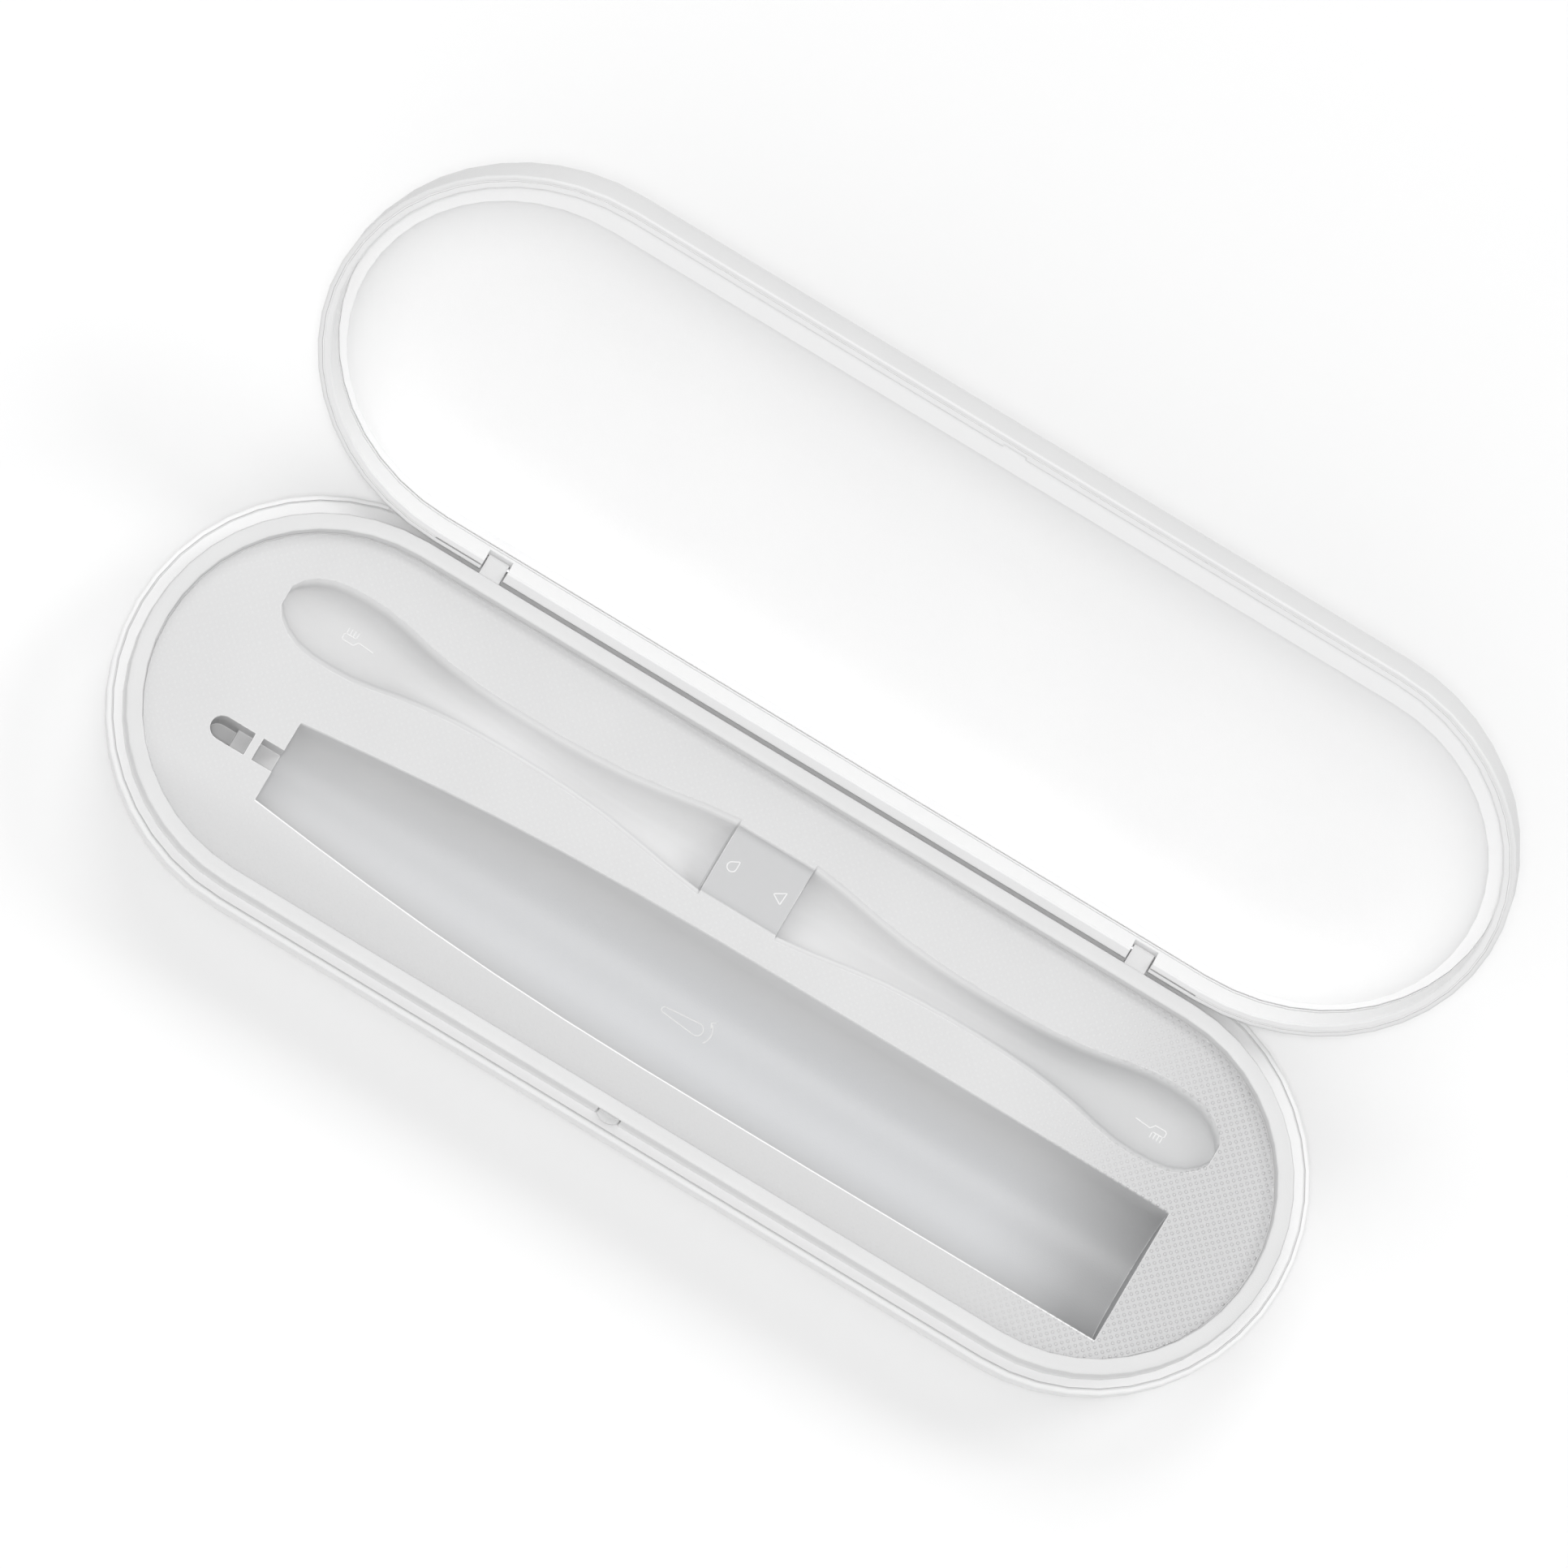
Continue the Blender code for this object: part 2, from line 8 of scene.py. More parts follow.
from __future__ import annotations

import json
import logging
import math
from dataclasses import dataclass
from enum import Enum
from functools import cached_property

import bmesh
import bpy
from mathutils import Matrix, Vector
from mathutils.bvhtree import BVHTree

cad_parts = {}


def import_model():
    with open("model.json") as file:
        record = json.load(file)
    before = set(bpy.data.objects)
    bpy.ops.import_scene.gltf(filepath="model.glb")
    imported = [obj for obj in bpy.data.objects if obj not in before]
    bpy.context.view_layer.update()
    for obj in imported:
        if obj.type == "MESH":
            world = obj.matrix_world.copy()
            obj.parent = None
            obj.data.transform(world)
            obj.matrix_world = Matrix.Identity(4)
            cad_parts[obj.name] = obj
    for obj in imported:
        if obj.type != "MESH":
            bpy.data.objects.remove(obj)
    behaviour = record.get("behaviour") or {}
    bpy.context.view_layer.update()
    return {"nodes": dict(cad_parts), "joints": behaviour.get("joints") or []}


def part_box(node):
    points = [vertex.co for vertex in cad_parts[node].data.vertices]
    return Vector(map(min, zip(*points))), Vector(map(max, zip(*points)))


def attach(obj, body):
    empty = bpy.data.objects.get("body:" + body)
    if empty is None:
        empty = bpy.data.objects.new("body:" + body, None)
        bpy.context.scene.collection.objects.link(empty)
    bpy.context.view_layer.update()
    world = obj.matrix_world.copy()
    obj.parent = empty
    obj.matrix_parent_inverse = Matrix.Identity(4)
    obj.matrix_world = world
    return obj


LOG = logging.getLogger("travel_case")

MILLIMETRE = 0.001

Colour = tuple[float, float, float]
Span = tuple[float, float]
Stroke = list[tuple[float, float]]


class Body(Enum):
    """The two bodies that the hinge joins."""

    BASE = "base"
    LID = "lid"


class Slot(Enum):
    """The record's material slots, named on each weld line but never used to give a piece its material."""

    SHELL = "shell_white"
    TRAY = "tray_grey"
    LINER = "liner_white"


def grey(tone: float, cool: float = 0.0) -> Colour:
    """Gives a grey.

    Args:
        tone: Its red and green, from 0 to 1.
        cool: How much more blue it has.

    Returns:
        The colour.
    """
    return (tone, tone, tone + cool)


def direction(azimuth: float, elevation: float) -> Vector:
    """Gives the direction from the case to a place round it.

    Args:
        azimuth: The place's angle, turning from -Y towards +X.
        elevation: Its angle over the table.

    Returns:
        The direction, one long.
    """
    level = math.cos(elevation)
    return Vector((math.sin(azimuth) * level, -math.cos(azimuth) * level, math.sin(elevation)))


def join_rings(bm: bmesh.types.BMesh, rings: list[list[bmesh.types.BMVert]], closed: bool = False) -> None:
    """Puts faces between rings of corners.

    Args:
        bm: The mesh that the rings are in.
        rings: The rings, each with the same number of corners.
        closed: Whether the last ring meets the first, or both ends get a face.
    """
    pairs = list(zip(rings, rings[1:]))
    if closed:
        pairs.append((rings[-1], rings[0]))
    for low, high in pairs:
        for k in range(len(low)):
            n = (k + 1) % len(low)
            bm.faces.new((low[k], low[n], high[n], high[k]))
    if not closed:
        bm.faces.new(rings[0])
        bm.faces.new(rings[-1])


def place_mesh(name: str, bm: bmesh.types.BMesh, material: bpy.types.Material) -> bpy.types.Object:
    """Makes an object of a finished mesh, and frees the mesh code's data.

    Args:
        name: The object's name.
        bm: The finished mesh.
        material: The material that it gets.

    Returns:
        The object, in the scene.
    """
    mesh = bpy.data.meshes.new(name)
    bm.to_mesh(mesh)
    bm.free()
    mesh.materials.append(material)
    piece = bpy.data.objects.new(name, mesh)
    bpy.context.scene.collection.objects.link(piece)
    return piece


class NodeBench:
    """Adds nodes to one node tree, in tidy columns, and links them."""

    def __init__(self, tree: bpy.types.NodeTree) -> None:
        """Starts on a tree.

        Args:
            tree: The node tree that the nodes go into.
        """
        self.tree = tree
        self.count = 0

    def add(self, kind: str, **inputs: object) -> bpy.types.Node:
        """Adds a node and fills its inputs.

        Args:
            kind: The node's type, as Blender names it.
            **inputs: Each input by its name with _ for a space: an output to link, or a value.

        Returns:
            The new node.
        """
        node = self.tree.nodes.new(kind)
        node.location = (220 * (self.count % 12), -260 * (self.count // 12))
        self.count += 1
        for name, value in inputs.items():
            self.feed(node, name.replace("_", " "), value)
        return node

    def feed(self, node: bpy.types.Node, name: str | int, value: object) -> None:
        """Links an output to a node's input, or sets the input's value.

        Args:
            node: The node that is fed.
            name: The input's name or its number.
            value: An output socket or a plain value.
        """
        socket = node.inputs[name]
        if isinstance(value, bpy.types.NodeSocket):
            self.tree.links.new(value, socket)
        else:
            socket.default_value = value

    def sum(self, operation: str, first: object, second: object = 0.0, third: object = 0.0,
            clamp: bool = False) -> bpy.types.NodeSocket:
        """Adds a Math node.

        Args:
            operation: The Math node's operation.
            first: Its first input.
            second: Its second input.
            third: Its third input.
            clamp: Whether the result is held between 0 and 1.

        Returns:
            The node's output.
        """
        node = self.add("ShaderNodeMath")
        node.operation = operation
        node.use_clamp = clamp
        for index, value in enumerate((first, second, third)):
            self.feed(node, index, value)
        return node.outputs[0]

    def spread(self, value: object, low: object, high: object, start: float = 0.0,
               end: float = 1.0) -> bpy.types.NodeSocket:
        """Adds a Map Range node with a smooth step.

        Args:
            value: What is mapped.
            low: The value that gives start.
            high: The value that gives end.
            start: The result at and below low.
            end: The result at and above high.

        Returns:
            The mapped value.
        """
        node = self.add("ShaderNodeMapRange", Value=value)
        node.interpolation_type = "SMOOTHSTEP"
        for name, setting in (("From Min", low), ("From Max", high), ("To Min", start), ("To Max", end)):
            self.feed(node, name, setting)
        return node.outputs["Result"]

    def product(self, *values: object) -> bpy.types.NodeSocket:
        """Multiplies masks.

        Args:
            *values: Two masks or more, each an output or a number.

        Returns:
            Their product.
        """
        result = values[0]
        for value in values[1:]:
            result = self.sum("MULTIPLY", result, value)
        return result

    def dot(self, first: object, second: object) -> bpy.types.NodeSocket:
        """Adds a dot product.

        Args:
            first: The first vector.
            second: The second vector.

        Returns:
            The product's value.
        """
        node = self.add("ShaderNodeVectorMath")
        node.operation = "DOT_PRODUCT"
        self.feed(node, 0, first)
        self.feed(node, 1, second)
        return node.outputs["Value"]

    def tint(self, factor: object, first: object, second: object) -> bpy.types.NodeSocket:
        """Adds a colour Mix node.

        Args:
            factor: How much of the second colour shows.
            first: The first colour.
            second: The second colour.

        Returns:
            The mixed colour.
        """
        node = self.add("ShaderNodeMix")
        node.data_type = "RGBA"
        for index, value in ((0, factor), (6, first), (7, second)):
            if isinstance(value, tuple):
                value = (*value, 1.0)
            self.feed(node, index, value)
        return node.outputs[2]

    def group(self, tree: bpy.types.NodeTree, **inputs: object) -> bpy.types.Node:
        """Places a node group.

        Args:
            tree: The group's tree.
            **inputs: Each input by its name with _ for a space.

        Returns:
            The group's node.
        """
        node = self.add("ShaderNodeGroup")
        node.node_tree = tree
        for name, value in inputs.items():
            self.feed(node, name.replace("_", " "), value)
        return node


class SurfaceGroups:
    """The shader node groups that the finishes share, each built once."""

    def start(self, name: str, inputs: dict[str, float | None],
              outputs: dict[str, str]) -> tuple[NodeBench, bpy.types.Node, bpy.types.Node]:
        """Makes an empty group with its sockets.

        Args:
            name: The group's name.
            inputs: Each input's name with its first value, or None for a vector.
            outputs: Each output's name with its socket type.

        Returns:
            A bench on the group's tree, its input node and its output node.
        """
        tree = bpy.data.node_groups.new(name, "ShaderNodeTree")
        for label, value in inputs.items():
            kind = "NodeSocketVector" if value is None else "NodeSocketFloat"
            socket = tree.interface.new_socket(name=label, in_out="INPUT", socket_type=kind)
            if value is not None:
                socket.default_value = value
        for label, kind in outputs.items():
            tree.interface.new_socket(name=label, in_out="OUTPUT", socket_type=kind)
        bench = NodeBench(tree)
        return bench, bench.add("NodeGroupInput"), bench.add("NodeGroupOutput")

    @cached_property
    def moulded_grain(self) -> bpy.types.NodeTree:
        """The fine grain of a moulded surface, and the slow mottle of its colour."""
        bench, given, made = self.start(
            "moulded_grain", {"Vector": None, "Grain Size": 0.0003, "Mottle Size": 0.012},
            {"Grain": "NodeSocketFloat", "Mottle": "NodeSocketFloat"})
        fine = bench.add("ShaderNodeTexNoise", Vector=given.outputs["Vector"], Detail=2.0, Roughness=0.6,
                         Scale=bench.sum("DIVIDE", 1.0, given.outputs["Grain Size"]))
        slow = bench.add("ShaderNodeTexNoise", Vector=given.outputs["Vector"], Detail=3.0, Roughness=0.5,
                         Scale=bench.sum("DIVIDE", 1.0, given.outputs["Mottle Size"]))
        bench.feed(made, "Grain", bench.spread(fine.outputs[0], 0.30, 0.70))
        bench.feed(made, "Mottle", bench.spread(slow.outputs[0], 0.32, 0.68))
        return bench.tree

    @cached_property
    def edge_wear_and_highlight(self) -> bpy.types.NodeTree:
        """Rounds the crisp edges for the light, and marks the edges in patches for a lighter colour that is
        partly rub wear and partly painted highlight.
        """
        bench, given, made = self.start(
            "edge_wear_and_highlight", {"Vector": None, "Width": 0.0003, "Patch Size": 0.004},
            {"Edge": "NodeSocketFloat", "Rounded Normal": "NodeSocketVector"})
        rounded = bench.add("ShaderNodeBevel", Radius=given.outputs["Width"])
        rounded.samples = 6
        true_face = bench.add("ShaderNodeNewGeometry")
        turned = bench.dot(rounded.outputs["Normal"], true_face.outputs["Normal"])
        corner = bench.spread(turned, 0.995, 0.90)
        patch = bench.add("ShaderNodeTexNoise", Vector=given.outputs["Vector"], Detail=4.0,
                          Scale=bench.sum("DIVIDE", 1.0, given.outputs["Patch Size"]))
        uneven = bench.spread(patch.outputs[0], 0.35, 0.65, 0.35, 1.0)
        bench.feed(made, "Edge", bench.sum("MULTIPLY", corner, uneven, clamp=True))
        bench.feed(made, "Rounded Normal", rounded.outputs["Normal"])
        return bench.tree

    @cached_property
    def hairlines(self) -> bpy.types.NodeTree:
        """Faint rubbed lines, long in one direction, with bare stretches between."""
        bench, given, made = self.start(
            "hairlines", {"Vector": None, "Line Length": 0.012, "Line Width": 0.00012, "Share": 0.5},
            {"Lines": "NodeSocketFloat"})
        stretch = bench.add("ShaderNodeVectorMath")
        stretch.operation = "MULTIPLY"
        along = bench.sum("DIVIDE", 1.0, given.outputs["Line Length"])
        across = bench.sum("DIVIDE", 1.0, given.outputs["Line Width"])
        scale = bench.add("ShaderNodeCombineXYZ", X=along, Y=across, Z=across)
        bench.feed(stretch, 0, given.outputs["Vector"])
        bench.feed(stretch, 1, scale.outputs[0])
        lines = bench.add("ShaderNodeTexNoise", Vector=stretch.outputs[0], Scale=1.0, Detail=1.0)
        stretches = bench.add("ShaderNodeTexNoise", Vector=given.outputs["Vector"], Detail=2.0,
                              Scale=bench.sum("DIVIDE", 1.0, given.outputs["Line Length"]))
        bare = bench.spread(stretches.outputs[0], 0.45, 0.62)
        thin = bench.spread(lines.outputs[0], 0.62, 0.74)
        bench.feed(made, "Lines", bench.sum(
            "MULTIPLY", bench.sum("MULTIPLY", thin, bare), given.outputs["Share"], clamp=True))
        return bench.tree

    @cached_property
    def height_band(self) -> bpy.types.NodeTree:
        """A mask that goes from 0 at one height to 1 at another."""
        bench, given, made = self.start(
            "height_band", {"Vector": None, "None At": 0.0, "Full At": 0.01}, {"Band": "NodeSocketFloat"})
        parts = bench.add("ShaderNodeSeparateXYZ", Vector=given.outputs["Vector"])
        bench.feed(made, "Band", bench.spread(
            parts.outputs["Z"], given.outputs["None At"], given.outputs["Full At"]))
        return bench.tree

    @cached_property
    def diamond_dots(self) -> bpy.types.NodeTree:
        """Small round studs in staggered rows, seen from above."""
        bench, given, made = self.start(
            "diamond_dots", {"Vector": None, "Pitch": 0.0008, "Thin": 0.15}, {"Dots": "NodeSocketFloat"})
        parts = bench.add("ShaderNodeSeparateXYZ", Vector=given.outputs["Vector"])
        turn = bench.sum("DIVIDE", math.pi, given.outputs["Pitch"])
        waves = [bench.sum("SINE", bench.sum("MULTIPLY", parts.outputs[axis], turn)) for axis in "XY"]
        peaks = bench.sum("MULTIPLY", waves[0], waves[1])
        bench.feed(made, "Dots", bench.spread(peaks, given.outputs["Thin"], 0.85))
        return bench.tree


class Finish:
    """What every finish shares: a material with the Principled BSDF left in it."""

    def __init__(self, name: str) -> None:
        """Makes the material.

        Args:
            name: The material's name.
        """
        self.material = bpy.data.materials.new(name)
        self.material.use_nodes = True
        self.material.node_tree.nodes.clear()
        self.bench = NodeBench(self.material.node_tree)
        self.shader = self.bench.add("ShaderNodeBsdfPrincipled")
        self.bench.add("ShaderNodeOutputMaterial", Surface=self.shader.outputs[0])
        self.place = self.bench.add("ShaderNodeTexCoord").outputs["Object"]

    def bump(self, height: bpy.types.NodeSocket, depth: float,
             normal: bpy.types.NodeSocket | None = None) -> None:
        """Feeds the shader's normal from a height.

        Args:
            height: The height, from 0 to 1.
            depth: How far 1 stands over 0, in metres.
            normal: The normal that the bump starts from.
        """
        node = self.bench.add("ShaderNodeBump", Height=height, Strength=1.0, Distance=depth)
        if normal:
            self.bench.feed(node, "Normal", normal)
        self.bench.feed(self.shader, "Normal", node.outputs[0])


@dataclass(frozen=True)
class PaintedLightZone:
    """A stretch of a surface painted another tone, as painted light or painted shade.

    The surface's place, or the way it faces, is measured along a direction. The zone
    starts at none_at and is complete from full_at on, which may be higher or lower.
    """

    direction: Colour
    none_at: float
    full_at: float
    colour: Colour
    by_facing: bool = False

    def tinted(self, finish: Finish, body: bpy.types.NodeSocket) -> bpy.types.NodeSocket:
        """Colours the zone.

        Args:
            finish: The finish that is being built.
            body: The colour outside the zone.

        Returns:
            The colour with the zone in it.
        """
        bench = finish.bench
        source = bench.add("ShaderNodeTexCoord").outputs["Normal" if self.by_facing else "Object"]
        measure = bench.dot(source, self.direction)
        return bench.tint(bench.spread(measure, self.none_at, self.full_at), body, self.colour)


@dataclass(frozen=True)
class MouldedPlastic:
    """A moulded plastic: its colour, its gloss and its surface."""

    name: str
    colour: Colour
    mottled_colour: Colour
    # The lighter colour on the edges: partly rub wear, partly a painted highlight.
    worn_and_highlight_colour: Colour
    roughness: float = 0.46
    rough_spread: float = 0.12
    grain_size: float = 0.35 * MILLIMETRE
    grain_depth: float = 0.004 * MILLIMETRE
    mottle_size: float = 18 * MILLIMETRE
    edge_round: float = 0.25 * MILLIMETRE
    line_share: float = 0.5
    # Painted light and painted shade, laid on by place or by facing.
    painted_light_zones: tuple[PaintedLightZone, ...] = ()

    def made(self, groups: SurfaceGroups) -> Finish:
        """Builds the material.

        Args:
            groups: The shared node groups.

        Returns:
            The finish, whose colour, roughness and bump vary over the surface.
        """
        finish = Finish(self.name)
        bench = finish.bench
        grain = bench.group(groups.moulded_grain, Vector=finish.place,
                            Grain_Size=self.grain_size, Mottle_Size=self.mottle_size)
        edge = bench.group(groups.edge_wear_and_highlight, Vector=finish.place, Width=self.edge_round)
        lines = bench.group(groups.hairlines, Vector=finish.place, Share=self.line_share)
        body = bench.tint(grain.outputs["Mottle"], self.colour, self.mottled_colour)
        # Lay on the painted light and painted shade.
        for zone in self.painted_light_zones:
            body = zone.tinted(finish, body)
        # Lighter edges: partly rub wear, partly a painted highlight.
        worn_and_highlit = bench.tint(edge.outputs["Edge"], body, self.worn_and_highlight_colour)
        rough = bench.spread(grain.outputs["Grain"], 0.0, 1.0, self.roughness,
                             self.roughness + self.rough_spread)
        scuffed = bench.sum("MULTIPLY_ADD", lines.outputs["Lines"], self.rough_spread, rough)
        bench.feed(finish.shader, "Base Color", worn_and_highlit)
        bench.feed(finish.shader, "Roughness", scuffed)
        finish.bump(grain.outputs["Grain"], self.grain_depth, edge.outputs["Rounded Normal"])
        return finish


@dataclass(frozen=True)
class StuddedPlastic:
    """The tray's plastic: studs on its deck and a smoother finish down in its bays, with painted shade,
    painted shadow and painted highlight laid on by place.

    The tones by place stand in for soft shade in the picture, so they aren't the
    plastic's own colour. A span gives where a tone starts and where it is complete.
    """

    name: str
    colour: Colour
    mottled_colour: Colour
    # Painted shade: cooler and darker deep down in the bays.
    deep_bay_shade_colour: Colour
    # The lighter colour on the edges and the stud tops: painted highlight, with some rub wear on the edges.
    worn_and_highlight_colour: Colour
    roughness: float
    bay_roughness: float
    grain_size: float
    grain_depth: float
    stud_pitch: float
    stud_depth: float
    # How far the studs are tinted lighter: a painted highlight on their tops.
    stud_highlight: float
    edge_round: float
    deck_height: float
    deck_band: float
    bay_depth: float
    bay_height: float
    mottle_size: float = 20 * MILLIMETRE
    rough_spread: float = 0.06
    faint_studs: float = 0.16
    # Painted shade: the deck darkens towards its right end.
    right_end_shade_colour: Colour = grey(0.528, 0.003)
    # Painted shade along the deck's front strip.
    front_strip_shade_colour: Colour = grey(0.550, 0.002)
    # Painted shade in the saddle between the head bays.
    saddle_shade_colour: Colour = (0.490, 0.492, 0.497)
    # Painted light: the head bays are lightened towards their necks by the middle of the tray.
    neck_light_colour: Colour = grey(0.720, 0.002)
    # Painted shadow of the handle bay's right end wall.
    bay_end_shadow_colour: Colour = (0.410, 0.412, 0.416)
    # Painted shade: the right head bay darkens towards the right.
    right_bay_shade_colour: Colour = (0.545, 0.547, 0.550)
    # Painted highlight along the handle bay's lip.
    lip_highlight_colour: Colour = grey(0.95)
    lip_highlight_depth: float = 0.60 * MILLIMETRE
    lip_highlight_facing: Span = (0.08, 0.35)
    # Where the painted light in the head bays' necks comes in.
    neck_light_fall: Span = (76 * MILLIMETRE, 50 * MILLIMETRE)
    # Where the painted shadow at the handle bay's right end comes in.
    bay_end_shadow_fall: Span = (66 * MILLIMETRE, 99 * MILLIMETRE)
    # Where the painted shade in the right head bay comes in.
    right_bay_shade_fall: Span = (30 * MILLIMETRE, 74 * MILLIMETRE)
    saddle_middle: float = 1.5 * MILLIMETRE
    saddle_half: float = 8.0 * MILLIMETRE
    # Where the painted shade of the saddle comes in across the case.
    saddle_shade_rise: Span = (0.0, 6 * MILLIMETRE)
    back_rise: Span = (0.0, 2 * MILLIMETRE)
    # Where the studs grow stronger and the painted shade at the deck's right end comes in.
    studs_rise: Span = (60 * MILLIMETRE, 100 * MILLIMETRE)
    # Where the painted shade of the deck's front strip comes in.
    front_shade_rise: Span = (-20 * MILLIMETRE, -30 * MILLIMETRE)

    def made(self, groups: SurfaceGroups) -> Finish:
        """Builds the material.

        Args:
            groups: The shared node groups.

        Returns:
            The finish, with its studs only where the deck is level.
        """
        finish = Finish(self.name)
        bench = finish.bench
        grain = bench.group(groups.moulded_grain, Vector=finish.place,
                            Grain_Size=self.grain_size, Mottle_Size=self.mottle_size)
        edge = bench.group(groups.edge_wear_and_highlight, Vector=finish.place, Width=self.edge_round)
        studs = bench.group(groups.diamond_dots, Vector=finish.place, Pitch=self.stud_pitch)
        deck = bench.group(groups.height_band, Vector=finish.place,
                           None_At=self.deck_height - self.deck_band,
                           Full_At=self.deck_height).outputs["Band"]
        deep = bench.group(groups.height_band, Vector=finish.place,
                           None_At=self.deck_height - self.bay_depth,
                           Full_At=self.bay_height).outputs["Band"]
        place = bench.add("ShaderNodeSeparateXYZ", Vector=finish.place)
        x = place.outputs["X"]
        on_deck = bench.product(studs.outputs["Dots"], deck, bench.spread(
            x, *self.studs_rise, self.faint_studs, 1.0))
        tone = bench.tint(grain.outputs["Mottle"], self.colour, self.mottled_colour)
        # Painted highlight: the studs are tinted lighter, as if lit on their tops.
        tone = bench.tint(bench.product(on_deck, self.stud_highlight), tone, self.worn_and_highlight_colour)
        # Painted light and painted shade, laid on by place.
        for mask, colour in self.painted_light_by_place(bench, place, deck, deep):
            tone = bench.tint(mask, tone, colour)
        # Lighter edges: painted highlight, with some rub wear.
        worn_and_highlit = bench.tint(edge.outputs["Edge"], tone, self.worn_and_highlight_colour)
        rough = bench.spread(deep, 0.0, 1.0, self.roughness, self.bay_roughness)
        uneven = bench.sum("MULTIPLY_ADD", grain.outputs["Grain"], self.rough_spread, rough)
        bench.feed(finish.shader, "Base Color", worn_and_highlit)
        bench.feed(finish.shader, "Roughness", uneven)
        relief = self.stud_depth + self.grain_depth
        stud_part = bench.product(on_deck, self.stud_depth / relief)
        height = bench.sum("MULTIPLY_ADD", grain.outputs["Grain"], self.grain_depth / relief, stud_part)
        finish.bump(height, relief, edge.outputs["Rounded Normal"])
        return finish

    def painted_light_by_place(self, bench: NodeBench, place: bpy.types.Node, deck: bpy.types.NodeSocket,
                       deep: bpy.types.NodeSocket) -> list[tuple[bpy.types.NodeSocket, Colour]]:
        """Works out where the tray gets painted shade, painted shadow or painted light.

        Args:
            bench: The bench of the material.
            place: The node that gives X, Y and Z of the surface.
            deck: The mask of the deck.
            deep: The mask of the bays' low parts.

        Returns:
            Each mask with its colour, in the order in which they are laid on.
        """
        x, y, z = (place.outputs[axis] for axis in "XYZ")
        below = bench.sum("SUBTRACT", 1.0, deck)
        at_back = bench.spread(y, *self.back_rise)
        at_front = bench.sum("SUBTRACT", 1.0, at_back)
        aside = bench.sum("ABSOLUTE", bench.sum("SUBTRACT", x, self.saddle_middle))
        near_saddle = bench.spread(aside, self.saddle_half + self.deck_band, self.saddle_half)
        facing = bench.add("ShaderNodeSeparateXYZ", Vector=bench.add("ShaderNodeTexCoord").outputs["Normal"])
        lit = bench.sum("MAXIMUM", facing.outputs["Y"], bench.sum("ABSOLUTE", facing.outputs["X"]))
        # The band just under the deck where the painted highlight of the lip lies.
        lip_highlight_band = bench.spread(z, self.deck_height - self.lip_highlight_depth, self.deck_height - self.lip_highlight_depth / 2)
        return [
            # Painted shade towards the deck's right end.
            (bench.product(deck, bench.spread(x, *self.studs_rise)), self.right_end_shade_colour),
            # Painted shade along the deck's front strip.
            (bench.product(deck, bench.spread(y, *self.front_shade_rise)), self.front_strip_shade_colour),
            # Painted light in the head bays' necks.
            (bench.product(below, at_back, bench.spread(aside, *self.neck_light_fall)), self.neck_light_colour),
            # Painted shade in the right head bay.
            (bench.product(below, at_back, bench.spread(x, *self.right_bay_shade_fall)), self.right_bay_shade_colour),
            # Painted shade in the saddle between the head bays.
            (bench.product(near_saddle, bench.spread(y, *self.saddle_shade_rise), below), self.saddle_shade_colour),
            # Painted shade deep in the bays.
            (deep, self.deep_bay_shade_colour),
            # Painted shadow at the handle bay's right end.
            (bench.product(below, at_front, bench.spread(x, *self.bay_end_shadow_fall)), self.bay_end_shadow_colour),
            # Painted highlight along the handle bay's front edge and ends.
            (bench.product(lip_highlight_band, at_front, bench.spread(lit, *self.lip_highlight_facing)), self.lip_highlight_colour),
        ]


@dataclass(frozen=True)
class TurnedSteel:
    """The steel of the hinge pins, with fine drawn lines along it."""

    name: str = "turned_steel"
    colour: Colour = (0.62, 0.62, 0.64)
    dull_colour: Colour = (0.50, 0.50, 0.51)
    roughness: float = 0.24
    rough_spread: float = 0.20
    grain_size: float = 0.15 * MILLIMETRE
    mottle_size: float = 2 * MILLIMETRE
    line_length: float = 4 * MILLIMETRE
    line_width: float = 0.05 * MILLIMETRE
    line_depth: float = 0.004 * MILLIMETRE

    def made(self, groups: SurfaceGroups) -> Finish:
        """Builds the material.

        Args:
            groups: The shared node groups.

        Returns:
            The finish.
        """
        finish = Finish(self.name)
        bench = finish.bench
        grain = bench.group(groups.moulded_grain, Vector=finish.place,
                            Grain_Size=self.grain_size, Mottle_Size=self.mottle_size)
        lines = bench.group(groups.hairlines, Vector=finish.place, Line_Length=self.line_length,
                            Line_Width=self.line_width, Share=1.0)
        tone = bench.tint(grain.outputs["Mottle"], self.colour, self.dull_colour)
        bench.feed(finish.shader, "Base Color", tone)
        bench.feed(finish.shader, "Roughness", bench.spread(
            lines.outputs["Lines"], 0.0, 1.0, self.roughness, self.roughness + self.rough_spread))
        finish.shader.inputs["Metallic"].default_value = 1.0
        finish.bump(lines.outputs["Lines"], self.line_depth)
        return finish


